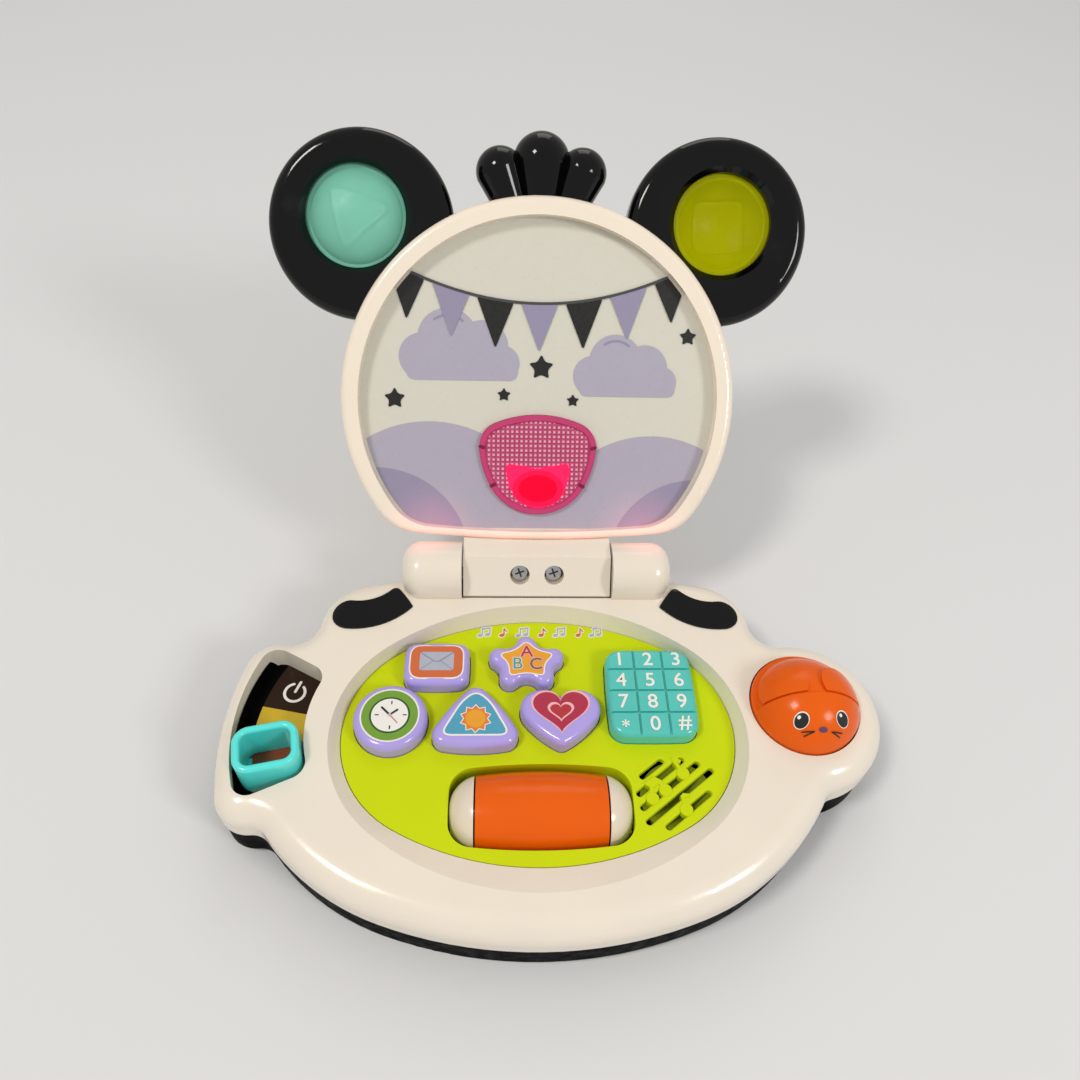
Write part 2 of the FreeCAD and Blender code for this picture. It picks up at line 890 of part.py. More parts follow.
def recess(sketch, grow=0):
    """The slider's recess, grown by a size all round; at its radius a millimetre spans a degree."""
    start, end = recess_angles(d.recess_margin + grow)
    return sketch.sector(d.slider_pivot_x, d.slider_pivot_y, d.recess_inner - grow,
                         d.recess_outer + grow, start, end, d.recess_corner + grow)


def door_tab_y():
    return d.bay_y - d.bay_half_depth - d.door_margin


# Lower shell


def lower_shell():
    body = new_body("lower_shell")
    inset = -d.shell_tuck
    pad(body, Sketch(body).smooth(base_outline(), inset), d.parting_height)
    rounded(body, level(0), d.floor_edge)
    inside = Sketch(body, lift=d.parting_height).smooth(base_outline(), inset - d.shell_wall)
    pocket(body, inside, d.parting_height - d.floor_thickness)
    bay_width = 2 * d.bay_half_width
    bay_depth = 2 * d.bay_half_depth
    walls = Sketch(body).box(0, d.bay_y, bay_width + 2 * d.bay_wall, bay_depth + 2 * d.bay_wall)
    pad(body, walls, d.bay_height + d.bay_wall)
    rebate_depth = d.door_recess + d.door_thickness
    tab_y = door_tab_y()
    pad(body, Sketch(body).circle(0, tab_y, d.door_tab + d.shell_wall), rebate_depth + d.floor_thickness)
    pad(body, Sketch(body).circle(0, tab_y, d.boss_radius), rebate_depth + d.door_screw_length)
    pocket(body, Sketch(body).box(0, d.bay_y, bay_width, bay_depth), d.bay_height, up=True)
    rebate = Sketch(body).box(0, d.bay_y, bay_width + 2 * d.door_margin, bay_depth + 2 * d.door_margin)
    pocket(body, rebate, rebate_depth, up=True)
    pocket(body, Sketch(body).circle(0, tab_y, d.door_tab), rebate_depth, up=True)
    pocket(body, Sketch(body).circle(0, tab_y, d.door_screw_shank),
           d.door_recess + d.door_screw_length, up=True)
    pad(body, Sketch(body).circles(CASE_SCREWS, d.boss_radius), d.hollow_height)
    pocket(body, Sketch(body).circles(CASE_SCREWS, d.screw_head + d.fit_gap), d.screw_recess, up=True)
    shanks = Sketch(body).circles(CASE_SCREWS, d.screw_shank + d.fit_gap / 3)
    pocket(body, shanks, d.hollow_height, up=True)
    posts = Sketch(body, lift=d.floor_thickness / 2).circles(BOARD_POSTS, d.board_post)
    pad(body, posts, d.board_height - d.floor_thickness / 2)
    post = Sketch(body, lift=d.floor_thickness / 2).circle(d.slider_pivot_x, d.slider_pivot_y, d.pivot_post)
    pad(body, post, d.lever_height - d.fit_gap - d.floor_thickness / 2)
    pin = Sketch(body, lift=d.floor_thickness / 2).circle(d.slider_pivot_x, d.slider_pivot_y, d.pivot_pin)
    pad(body, pin, d.lever_height + d.lever_thickness + 1 - d.floor_thickness / 2)
    return body


# Upper shell with its bowl, openings and hinge barrels


def barrel_profile(body):
    """Half section of a hinge barrel along its axis, with a round shoulder at the outer end."""
    sketch = Sketch(body, "XY_Plane", lift=d.hinge_height, shift=(0, d.hinge_y))
    shoulder = d.barrel_outer - d.barrel_edge
    points = [(d.barrel_inner, 0), (d.barrel_outer, 0), (d.barrel_outer, d.barrel_radius - d.barrel_edge),
              (shoulder, d.barrel_radius), (d.barrel_inner, d.barrel_radius)]
    return sketch.loop(points, {2: (d.barrel_edge, 1, False)})


def deck_sketch(body, height):
    """Sketch on a plane that slopes like the deck."""
    return Sketch(body, lift=height, slope=d.deck_slope)


def shell_block(body):
    """Solid block with the base's outline and the sloping deck on top."""
    pad(body, Sketch(body, lift=d.parting_height).smooth(base_outline()), d.deck_height)
    above = deck_sketch(body, d.deck_height).box(0, 0, 4 * d.bow_radius, 4 * d.bow_radius)
    pocket(body, above, d.deck_height, up=True)


def upper_shell():
    body = new_body("upper_shell")
    shell_block(body)
    hollow_roof(body)
    rounded(body, on_slope(d.deck_height), d.deck_edge)
    barrel = turned(body, barrel_profile(body), "H_Axis")
    mirrored(body, [barrel])
    bowl = feature(body, "SubtractiveLoft", Sketch(body, lift=d.panel_height)
                   .smooth(panel_outline(), d.fit_gap))
    bowl.Sections = [deck_sketch(body, d.deck_height).smooth(bowl_outline()).obj]
    doc.recompute()
    seat = Sketch(body, lift=d.panel_height).smooth(panel_outline(), d.fit_gap)
    pocket(body, seat, d.panel_thickness)
    throat = Sketch(body, lift=d.panel_height).smooth(panel_outline(), -d.panel_ledge)
    pocket(body, throat, d.panel_height - d.parting_height)
    hollow = Sketch(body, lift=d.hollow_height).smooth(base_outline(), -d.shell_wall)
    pocket(body, hollow, d.hollow_height)
    notch = Sketch(body, "YZ_Plane", lift=-d.barrel_inner).circle(d.hinge_y, d.hinge_height, d.notch_radius)
    pocket(body, notch, 2 * d.barrel_inner, up=True)
    bore = Sketch(body, "YZ_Plane", lift=-d.pin_outer).circle(d.hinge_y, d.hinge_height, d.pin_radius)
    pocket(body, bore, 2 * d.pin_outer, up=True)
    pocket(body, recess(Sketch(body, lift=d.hollow_height)), 2 * d.deck_height, up=True)
    opening = Sketch(body, lift=d.hollow_height).circle(d.mouse_x, d.mouse_y, d.mouse_radius + d.mouse_gap)
    pocket(body, opening, 2 * d.deck_height, up=True)
    under = d.mouse_radius + d.mouse_flange + d.mouse_gap
    pocket(body, Sketch(body, lift=d.parting_height).circle(d.mouse_x, d.mouse_y, under),
           d.mouse_seat - d.parting_height, up=True)
    sockets = deck_sketch(body, d.deck_height - d.inlay_depth)
    for way in (-1, 1):
        sockets.smooth(inlay_outline(way))
    pocket(body, sockets, 3 * d.inlay_depth, up=True)
    pilots = Sketch(body, lift=d.hollow_height).circles(CASE_SCREWS, d.screw_shank)
    pocket(body, pilots, d.screw_bite, up=True)
    ledge_reliefs(body)


def ledge_reliefs(body):
    """Clears the panel's ledge for the flanges and the speaker that reach over it."""
    top = d.panel_height - d.panel_thickness
    relief = Sketch(body, lift=top).circle(d.grille_x, d.grille_y, d.speaker_radius + d.fit_gap)
    clear = d.button_flange + d.fit_gap
    relief.smooth(shifted(pad_outline(), d.pad_x, d.pad_y), clear)
    relief.smooth(shifted(square_outline(), d.square_x, d.square_y), clear)
    pocket(body, relief, top - d.hollow_height)


def hollow_roof(body):
    """Empties the shell around the bowl and leaves walls and bosses where other pieces are held."""
    ceiling = d.deck_height - d.roof_thickness
    ring = deck_sketch(body, ceiling).smooth(base_outline(), -d.roof_margin)
    ring.smooth(bowl_outline(), d.shell_wall)
    pocket(body, ring, d.deck_height)
    inside = d.deck_height - d.roof_thickness / 2
    drop = d.deck_height - d.parting_height
    bosses = deck_sketch(body, inside).circles(CASE_SCREWS, d.boss_radius)
    bosses.circle(d.mouse_x, d.mouse_y, d.mouse_radius + d.mouse_flange + d.mouse_gap + d.shell_wall / 2)
    sockets = deck_sketch(body, inside)
    for way in (-1, 1):
        sockets.smooth(inlay_outline(way), d.shell_wall)
    under_notch = deck_sketch(body, inside)
    half = d.barrel_inner + d.shell_wall
    near = d.hinge_y - d.notch_radius - d.shell_wall
    far = d.hinge_y + d.roof_thickness
    under_notch.loop([(-half, near), (half, near), (half, far), (-half, far)])
    for wall in (bosses, sockets, recess(deck_sketch(body, inside), d.tray_flange), under_notch):
        pad(body, wall, drop, down=True)


def shoulder_inlays():
    """Two glossy leaves whose tops follow the shell's rounded edge and stand a little proud of it."""
    form = new_body("shoulder_form")
    shell_block(form)
    rounded(form, on_slope(d.deck_height), d.deck_edge)
    place(form, 0, 0, d.inlay_proud)
    for label, way in (("left_shoulder_inlay", -1), ("right_shoulder_inlay", 1)):
        leaf = new_body(f"{label}_leaf")
        floor = deck_sketch(leaf, d.deck_height - d.inlay_depth)
        pad(leaf, floor.smooth(inlay_outline(way), -d.fit_gap / 3), 3 * d.inlay_depth)
        inlay = doc.addObject("Part::Common", label)
        inlay.Label = label
        inlay.Base = form
        inlay.Tool = leaf


# Keyboard panel


def slot(sketch, start, end, y, radius):
    """Round-ended slot along the sketch's X."""
    points = [(start, y - radius), (end, y - radius), (end, y + radius), (start, y + radius)]
    return sketch.loop(points, {1: HALF, 3: HALF})


def bar(sketch, start, end, width):
    """Straight bar between two points."""
    along_x, along_y = end[0] - start[0], end[1] - start[1]
    length = math.hypot(along_x, along_y)
    over_x, over_y = -along_y / length / 2 * width, along_x / length / 2 * width
    points = [(start[0] - over_x, start[1] - over_y), (end[0] - over_x, end[1] - over_y),
              (end[0] + over_x, end[1] + over_y), (start[0] + over_x, start[1] + over_y)]
    return sketch.loop(points)


def speaker_grille(body):
    """Slots with rounded lips, and music notes that bridge them."""
    middle = (d.grille_x, d.grille_y)
    slots = Sketch(body, spin=d.grille_angle, shift=middle)
    for start, end, across in GRILLE_SLOTS:
        slot(slots, start, end, across, d.grille_slot_radius)
    pocket(body, slots, d.panel_thickness)
    centre = V(d.grille_x.value, d.grille_y.value, 0)
    on_top = level(0)
    reach = max(end for _, end, _ in GRILLE_SLOTS) + 2 * d.grille_slot_radius.value
    rounded(body, lambda e: on_top(e) and (e.CenterOfMass - centre).Length < reach, d.grille_slot_edge)
    heads, beam, stems, flags = (Sketch(body, lift=-d.panel_thickness, shift=middle) for _ in range(4))
    heads.circles(NOTE_HEADS, d.note_head)
    beam.loop(NOTE_BEAM)
    for head, top in zip(NOTE_HEADS, NOTE_TOPS):
        bar(stems, head, top, d.note_bar)
    for start, end in NOTE_FLAGS:
        bar(flags, start, end, d.note_bar)
    for piece in (heads, beam, stems, flags):
        pad(body, piece, d.panel_thickness + d.note_height)


def roller_window():
    """Outline that clears the roller and its caps at the panel's underside."""
    lip = d.roller_drop - d.panel_thickness
    half = d.roller_length / 2 + d.cap_length + d.roller_clearance
    depth = root(d.roller_radius * d.roller_radius - lip * lip) + d.roller_clearance
    return shifted(pillow(2 * half, 2 * depth, d.window_corner, d.window_bulge), 0, d.roller_y)


def keyboard_panel():
    body = new_body("keyboard_panel")
    top = Sketch(body).smooth(panel_outline())
    pad(body, top, d.panel_thickness, down=True)
    speaker_grille(body)
    for outline, x, y in SHAPED_BUTTONS.values():
        pocket(body, Sketch(body).smooth(shifted(outline(), x, y), d.fit_gap), d.panel_thickness)
    pocket(body, Sketch(body).circle(d.round_x, d.round_y, d.round_radius + d.fit_gap), d.panel_thickness)
    pocket(body, Sketch(body).smooth(shifted(pad_outline(), d.pad_x, d.pad_y), d.fit_gap), d.panel_thickness)
    pocket(body, Sketch(body).smooth(roller_window()), d.panel_thickness)
    place(body, 0, 0, d.panel_height)
    return body


# Buttons: a cap, a flange that keeps it in the panel and a plunger


def finish_button(body, flange, z_flange):
    pad(body, flange, d.button_flange_thickness, down=True)
    plunger = Sketch(body, lift=z_flange - d.button_flange_thickness)
    pad(body, plunger.circle(0, 0, d.button_plunger_radius), d.button_plunger_length, down=True)


def press_button(label, x, y, cap, flange, edge):
    """cap and flange draw the button's outline and its wider foot in a sketch."""
    body = new_body(label)
    z_flange = -d.panel_thickness - d.fit_gap
    pad(body, cap(Sketch(body, lift=z_flange - d.button_flange_thickness)),
        d.button_height - z_flange + d.button_flange_thickness)
    rounded(body, level(d.button_height), edge)
    finish_button(body, flange(Sketch(body, lift=z_flange)), z_flange)
    place(body, x, y, d.panel_height)
    return body


def buttons():
    for label, (outline, x, y) in SHAPED_BUTTONS.items():
        press_button(label, x, y, lambda s, o=outline: s.smooth(o()),
                     lambda s, o=outline: s.smooth(o(), d.button_flange), d.button_edge)
    press_button("round_button", d.round_x, d.round_y, lambda s: s.circle(0, 0, d.round_radius),
                 lambda s: s.circle(0, 0, d.round_radius + d.button_flange), d.button_edge)
    number_pad()


def number_pad():
    """One block with grooves between its twelve keys."""
    body = press_button("number_pad", d.pad_x, d.pad_y, lambda s: s.smooth(pad_outline()),
                        lambda s: s.smooth(pad_outline(), d.button_flange), d.pad_edge)
    for column in (-0.5, 0.5):
        groove = Sketch(body, lift=d.button_height)
        groove.box(d.pad_width / 3 * column, 0, d.pad_groove_width, 2 * d.pad_depth)
        pocket(body, groove, d.pad_groove_depth)
    for row_number in (-1, 0, 1):
        groove = Sketch(body, lift=d.button_height)
        groove.box(0, d.pad_depth / 4 * row_number, 2 * d.pad_width, d.pad_groove_width)
        pocket(body, groove, d.pad_groove_depth)
    return body


# Roller, axle and cradle, drawn about the roller's axis


def at_roller(body):
    place(body, 0, d.roller_y, d.panel_height - d.roller_drop)


def roller():
    body = new_body("roller")
    half = d.roller_length / 2
    bore = d.axle_radius + d.axle_clearance
    points = [(-half, bore), (half, bore), (half, d.roller_end_radius), (-half, d.roller_end_radius)]
    turned(body, Sketch(body, "XZ_Plane").loop(points, {2: (d.roller_crown, 1, False)}), "H_Axis")
    at_roller(body)


def roller_axle():
    made = cylinder("roller_axle", d.axle_radius, d.axle_length, -d.axle_length / 2, d.roller_y,
                    d.panel_height - d.roller_drop, 90)
    return made


def roller_cradle():
    """A trough with a round-nosed cap at each end of the roller."""
    body = new_body("roller_cradle")
    start = d.roller_length / 2 + d.roller_clearance
    end = start + d.cap_length
    bottom = d.floor_thickness - (d.panel_height - d.roller_drop)
    length = 2 * (end - d.roller_clearance)
    pad(body, Sketch(body, lift=bottom).box(0, 0, length, 2 * d.cradle_half_depth), d.cradle_floor)
    posts = []
    for way in (-1, 1):
        post = Sketch(body, lift=bottom)
        middle = (start + d.cap_length / 2) * way
        posts.append(pad(body, post.box(middle, 0, d.cap_length - 2 * d.roller_clearance,
                                        2 * d.cradle_post_half_depth), -bottom))
    points = [(start, 0), (end, 0), (end, d.cap_nose_radius), (start, d.roller_end_radius)]
    cap = turned(body, Sketch(body, "XZ_Plane").loop(points, {2: (d.cap_crown, 1, False)}), "H_Axis")
    mirrored(body, [cap])
    hole = Sketch(body, "YZ_Plane", lift=-d.axle_length / 2).circle(0, 0, d.axle_radius)
    pocket(body, hole, d.axle_length, up=True)
    at_roller(body)


# Slider: a ring for a finger on a lever that swings under the shell


def at_pivot(body):
    place(body, d.slider_pivot_x, d.slider_pivot_y, 0, d.slider_rest_angle)


def slider_ring():
    body = new_body("slider_ring")
    foot = d.tray_floor_height + d.fit_gap
    outer = Sketch(body, lift=foot).box(-d.slider_radius, 0, d.slider_ring_long, d.slider_ring_short)
    pad(body, outer, d.slider_ring_top - foot)
    rounded(body, upright, d.slider_ring_corner)
    wall = 2 * d.slider_ring_wall
    hole = Sketch(body, lift=d.slider_ring_top)
    hole.box(-d.slider_radius, 0, d.slider_ring_long - wall, d.slider_ring_short - wall)
    pocket(body, hole, d.slider_ring_top - foot)
    rounded(body, lambda e: upright(e) and abs(e.Vertexes[0].Y) < d.slider_ring_short.value / 2 - 2,
            d.slider_ring_corner - d.slider_ring_wall)
    rounded(body, level(d.slider_ring_top), d.slider_edge)
    neck = Sketch(body, lift=foot).box(-d.track_radius, 0, d.neck_width, d.neck_length)
    pad(body, neck, foot - d.lever_height - d.lever_thickness, down=True)
    at_pivot(body)


def slider_lever():
    body = new_body("slider_lever")
    hub = Sketch(body, lift=d.lever_height).circle(0, 0, d.lever_hub)
    pad(body, hub, d.lever_thickness)
    reach = d.track_radius + d.neck_width
    arm = Sketch(body, lift=d.lever_height).box(-reach / 2, 0, reach, d.lever_width)
    pad(body, arm, d.lever_thickness)
    hole = Sketch(body, lift=d.lever_height).circle(0, 0, d.pivot_pin + d.axle_clearance)
    pocket(body, hole, d.lever_thickness, up=True)
    at_pivot(body)


def slider_tray():
    """Floor of the recess, with a curved track for the slider's neck."""
    body = new_body("slider_tray")
    pad(body, recess(Sketch(body, lift=d.hollow_height), d.tray_flange), d.tray_flange_thickness, down=True)
    pad(body, recess(Sketch(body, lift=d.hollow_height), -d.fit_gap), d.tray_floor_height - d.hollow_height)
    swing = d.neck_length / d.track_radius * 32
    start, end = recess_angles(swing)
    track = Sketch(body, lift=d.tray_floor_height)
    track.sector(d.slider_pivot_x, d.slider_pivot_y, d.track_radius - d.track_width / 2,
                 d.track_radius + d.track_width / 2, start, end, d.track_width / 3)
    pocket(body, track, 2 * d.tray_floor_height)


# Mouse button: a hollow dome with a flange under the shell


def mouse_button():
    """Dome on a stem; behind a crease its top is lowered around two round ears."""
    body = new_body("mouse_form")
    outer = d.mouse_radius
    inner = outer - d.mouse_wall
    foot = d.mouse_seat - d.fit_gap - d.mouse_flange_thickness
    flange = outer + d.mouse_flange
    ledge = d.mouse_seat - d.fit_gap
    crown = d.mouse_top
    points = [(inner, foot), (flange, foot), (flange, ledge), (outer, ledge), (outer, d.mouse_skirt),
              (0, crown), (0, crown - d.mouse_wall), (inner, d.mouse_skirt - d.mouse_wall)]
    rise = crown - d.mouse_skirt
    dome = (outer * outer + rise * rise) / (2 * rise)
    inner_dome = (inner * inner + rise * rise) / (2 * rise)
    section = Sketch(body, "XZ_Plane").loop(points, {4: (dome, 1, False), 6: (inner_dome, -1, False)})
    turned(body, section, "V_Axis")
    stem = Sketch(body, lift=crown - d.mouse_wall / 2).circle(0, 0, d.mouse_stem)
    pad(body, stem, crown - d.mouse_wall / 2 - foot, down=True)
    place(body, d.mouse_x, d.mouse_y, 0)
    core = doc.addObject("Part::Sphere", "mouse_core")
    bind(core, "Radius", dome - d.mouse_relief)
    place(core, d.mouse_x, d.mouse_y, crown - dome)
    valley = cut("mouse_valley", lowered_area(), core)
    cut("mouse_button", body, valley)


def lowered_area():
    """Upright block over the part of the mouse that lies lower: all behind the crease except the ears."""
    body = new_body("mouse_lowered_area")
    low = d.mouse_relief_foot
    height = d.mouse_top - low + d.mouse_relief
    depth = d.mouse_radius - d.mouse_crease_y
    behind = Sketch(body, lift=low).box(0, d.mouse_crease_y + depth / 2, 2 * d.mouse_radius, depth)
    pad(body, behind, height)
    for way in (-1, 1):
        ear = Sketch(body, lift=low).circle(d.mouse_ear_x * way, d.mouse_ear_y, d.mouse_ear)
        pocket(body, ear, height, up=True)
    crease_y = d.mouse_crease_y - d.mouse_crease_width / 2
    crease = Sketch(body, lift=low).box(0, crease_y, 2 * d.mouse_radius, d.mouse_crease_width)
    pad(body, crease, height)
    place(body, d.mouse_x, d.mouse_y, 0)
    return body


def mouse_switch():
    """Pedestal with a rubber dome under the mouse button's stem."""
    body = new_body("mouse_switch")
    top = d.mouse_seat - d.fit_gap - d.mouse_flange_thickness - d.mouse_travel - d.fit_gap
    pad(body, Sketch(body, lift=d.floor_thickness).circle(0, 0, 2 * d.mouse_stem),
        top - d.floor_thickness - d.mat_dome_height)
    pad(body, Sketch(body, lift=d.floor_thickness).circle(0, 0, d.mouse_stem), top - d.floor_thickness)
    place(body, d.mouse_x, d.mouse_y, 0)


# Speaker, circuit board and key mat


def speaker():
    body = new_body("speaker")
    top = d.panel_height - d.panel_thickness
    pad(body, Sketch(body, lift=top).circle(0, 0, d.speaker_radius), d.speaker_frame, down=True)
    pad(body, Sketch(body, lift=top - d.speaker_frame).circle(0, 0, d.speaker_magnet_radius),
        d.speaker_depth - d.speaker_frame, down=True)
    cone = Sketch(body, "XZ_Plane")
    rim = d.speaker_radius - d.speaker_frame
    deep = top - 2 * d.speaker_frame
    cone.loop([(0, top + 1), (rim, top + 1), (rim, top), (d.speaker_frame, deep), (0, deep)])
    turned(body, cone, "V_Axis", "Groove")
    place(body, d.grille_x, d.grille_y, 0)


def plunger_places():
    return [(x, y) for _, x, y in SHAPED_BUTTONS.values()] + [(d.round_x, d.round_y), (d.pad_x, d.pad_y)]


def circuit_board():
    body = new_body("circuit_board")
    width = d.board_right - d.board_left
    depth = d.board_back - d.board_front
    plate = Sketch(body, lift=d.board_height)
    plate.box(d.board_left + width / 2, d.board_front + depth / 2, width, depth)
    pad(body, plate, d.board_thickness)


def key_mat():
    """Silicone sheet with a low dome under each plunger."""
    body = new_body("key_mat")
    seat = d.board_height + d.board_thickness
    width = d.board_right - d.board_left - 4
    depth = d.board_back - d.board_front - 4
    sheet_sketch = Sketch(body, lift=seat)
    sheet_sketch.box(d.board_left + 2 + width / 2, d.board_front + 2 + depth / 2, width, depth)
    pad(body, sheet_sketch, d.mat_thickness)
    for x, y in plunger_places():
        dome = Sketch(body, lift=seat).circle(x, y, d.mat_dome_radius)
        pad(body, dome, d.mat_thickness + d.mat_dome_height)


# Power: cells, contacts, door


def cells():
    axis_height = d.door_recess + d.door_thickness + d.cell_radius
    shapes = []
    for number in (-1, 0, 1):
        y = d.bay_y + d.cell_pitch * number
        way = -1 if number == 0 else 1
        shapes.append(cylinder("cell", d.cell_radius, d.cell_length, -d.cell_length / 2, y, axis_height, 90))
        nub = d.cell_length / 2 if way > 0 else -d.cell_length / 2 - d.cell_nub_length
        shapes.append(cylinder("cell_nub", d.cell_nub_radius, d.cell_nub_length, nub, y, axis_height, 90))
    return fused("cells", shapes)


def contacts():
    body = new_body("battery_contacts")
    body.AllowCompound = True
    axis_height = d.door_recess + d.door_thickness + d.cell_radius
    for way in (-1, 1):
        for number in (-1, 0, 1):
            plate = Sketch(body, lift=axis_height - d.contact_size / 2)
            x = (d.bay_half_width - d.contact_thickness / 2) * way
            plate.box(x, d.bay_y + d.cell_pitch * number, d.contact_thickness, d.contact_size)
            pad(body, plate, d.contact_size)
    return body


def battery_door():
    body = new_body("battery_door")
    width = 2 * (d.bay_half_width + d.door_margin - d.fit_gap)
    depth = 2 * (d.bay_half_depth + d.door_margin - d.fit_gap)
    pad(body, Sketch(body, lift=d.door_recess).box(0, d.bay_y, width, depth), d.door_thickness)
    tab = Sketch(body, lift=d.door_recess).circle(0, door_tab_y(), d.door_tab - d.fit_gap)
    pad(body, tab, d.door_thickness)
    head = Sketch(body, lift=d.door_recess).circle(0, door_tab_y(), d.door_screw_head + d.fit_gap)
    pocket(body, head, d.door_thickness / 2, up=True)
    hole = Sketch(body, lift=d.door_recess).circle(0, door_tab_y(), d.door_screw_shank + d.fit_gap / 3)
    pocket(body, hole, d.door_thickness, up=True)


def battery_door_screw():
    head = d.door_thickness / 2
    shapes = [cylinder("door_screw_head", d.door_screw_head, head, 0, door_tab_y(), d.door_recess),
              cylinder("door_screw_shank", d.door_screw_shank, d.door_screw_length - head - d.fit_gap, 0,
                       door_tab_y(), d.door_recess + head)]
    fused("battery_door_screw", shapes)


# Hinge pins and knuckle


def hinge_pins():
    shapes = []
    for start in (d.pin_inner, -d.pin_outer):
        shapes.append(cylinder("hinge_pin", d.pin_radius, d.pin_outer - d.pin_inner, start, d.hinge_y,
                               d.hinge_height, 90))
    return fused("hinge_pins", shapes)


def hinge_knuckle():
    """Lid-side part of the hinge, round behind and flat in front, with a neck up to the lid."""
    body = new_body("hinge_knuckle")
    flat = d.knuckle_flat
    chord = root(d.knuckle_radius * d.knuckle_radius - flat * flat)
    back_y = d.knuckle_radius * sine(30)
    back_z = -d.knuckle_radius * cosine(30)
    neck = d.lid_bottom + d.lid_wall
    points = [(-chord, flat), (back_y, back_z), (neck, back_z), (neck, d.lid_front),
              (d.lid_bottom, d.lid_front), (d.knuckle_face_top, flat)]
    side = Sketch(body, "YZ_Plane", lift=-d.knuckle_half_width)
    pad(body, side.loop(points, {0: (d.knuckle_radius, 1, False)}), 2 * d.knuckle_half_width)
    pocket(body, Sketch(body, lift=back_z).smooth(lid_outline()), 2 * d.knuckle_radius, up=True)
    bore = Sketch(body, "YZ_Plane", lift=-d.knuckle_half_width)
    pocket(body, bore.circle(0, 0, d.pin_radius + d.pin_clearance), 2 * d.knuckle_half_width, up=True)
    for way in (-1, 1):
        head = Sketch(body, lift=flat).circle(d.knuckle_screw_x * way, 0, d.knuckle_screw_bore)
        pocket(body, head, d.knuckle_screw_recess + d.knuckle_screw_depth)
        shank = Sketch(body, lift=flat).circle(d.knuckle_screw_x * way, 0, d.knuckle_screw_shank)
        pocket(body, shank, d.knuckle_screw_recess + d.knuckle_screw_depth + d.knuckle_screw_length)
    on_lid(body)
    return body


# Lid


def lid_bezel():
    body = new_body("lid_bezel")
    pad(body, Sketch(body, lift=d.lid_parting).smooth(lid_outline()), d.lid_front - d.lid_parting)
    rounded(body, level(d.lid_front), d.lid_front_edge)
    pocket(body, Sketch(body, lift=d.lid_front).smooth(screen_outline()), d.lid_front - d.lid_parting)
    rebate = Sketch(body, lift=d.lid_parting).smooth(screen_outline(), d.screen_lap + d.fit_gap / 3)
    pocket(body, rebate, d.screen_face - d.lid_parting, up=True)
    on_lid(body)


def screen_plate():
    body = new_body("screen_plate")
    pad(body, Sketch(body, lift=d.screen_face).smooth(screen_outline(), d.screen_lap),
        d.screen_thickness, down=True)
    hole = Sketch(body, lift=d.screen_face).smooth(lens_outline(), d.fit_gap / 3)
    pocket(body, hole, d.screen_thickness)
    back = d.screen_face - d.screen_thickness
    pad(body, Sketch(body, lift=back).circles(lid_screw_places(), d.boss_radius), d.lid_boss_length, down=True)
    pilots = Sketch(body, lift=back - d.lid_boss_length).circles(lid_screw_places(), d.screw_shank)
    pocket(body, pilots, d.lid_boss_length, up=True)
    on_lid(body)


def light_lens():
    body = new_body("light_lens")
    foot = d.screen_face - d.screen_thickness
    pad(body, Sketch(body, lift=foot).smooth(lens_outline()), d.lens_front - foot)
    rounded(body, level(d.lens_front), d.lens_edge)
    flange = Sketch(body, lift=foot).smooth(lens_outline(), d.lens_flange)
    pad(body, flange, d.lens_flange_thickness, down=True)
    on_lid(body)


def lid_back_shell():
    body = new_body("lid_back_shell")
    pad(body, Sketch(body, lift=d.lid_back).smooth(lid_outline()), d.lid_parting - d.lid_back)
    rounded(body, level(d.lid_back), d.lid_back_edge)
    inside = Sketch(body, lift=d.lid_parting).smooth(lid_outline(), -d.lid_wall)
    pocket(body, inside, d.lid_parting - d.lid_back - d.lid_wall)
    meeting = d.screen_face - d.screen_thickness - d.lid_boss_length
    pad(body, Sketch(body, lift=d.lid_back).circles(lid_screw_places(), d.boss_radius), meeting - d.lid_back)
    heads = Sketch(body, lift=d.lid_back).circles(lid_screw_places(), d.screw_head + d.fit_gap)
    pocket(body, heads, d.lid_screw_recess, up=True)
    shanks = Sketch(body, lift=d.lid_back).circles(lid_screw_places(), d.screw_shank + d.fit_gap / 3)
    pocket(body, shanks, meeting - d.lid_back, up=True)
    on_lid(body)


def lamp_board():
    """Board on two posts of its own behind the lens, with one light."""
    body = new_body("lamp_board")
    floor = d.lid_back + d.lid_wall
    for way in (-1, 1):
        post_x = (d.lamp_board_width / 2 - d.lamp_post) * way
        post = Sketch(body, lift=floor).circle(post_x, d.lamp_y, d.lamp_post)
        pad(body, post, d.lamp_post)
        if way < 0:
            plate = Sketch(body, lift=floor + d.lamp_post)
            plate.box(d.lamp_x, d.lamp_y, d.lamp_board_width, d.lamp_board_depth)
            pad(body, plate, d.lamp_board_thickness)
    light = Sketch(body, lift=floor + d.lamp_post).circle(d.lamp_x, d.lamp_y, d.lamp_radius)
    height = d.lamp_board_thickness + 1.4 * d.lamp_radius
    pad(body, light, height)
    rounded(body, level(floor + d.lamp_post + height), 0.8 * d.lamp_radius)
    on_lid(body)


# Ears with their bubbles, drawn about the ear's opening


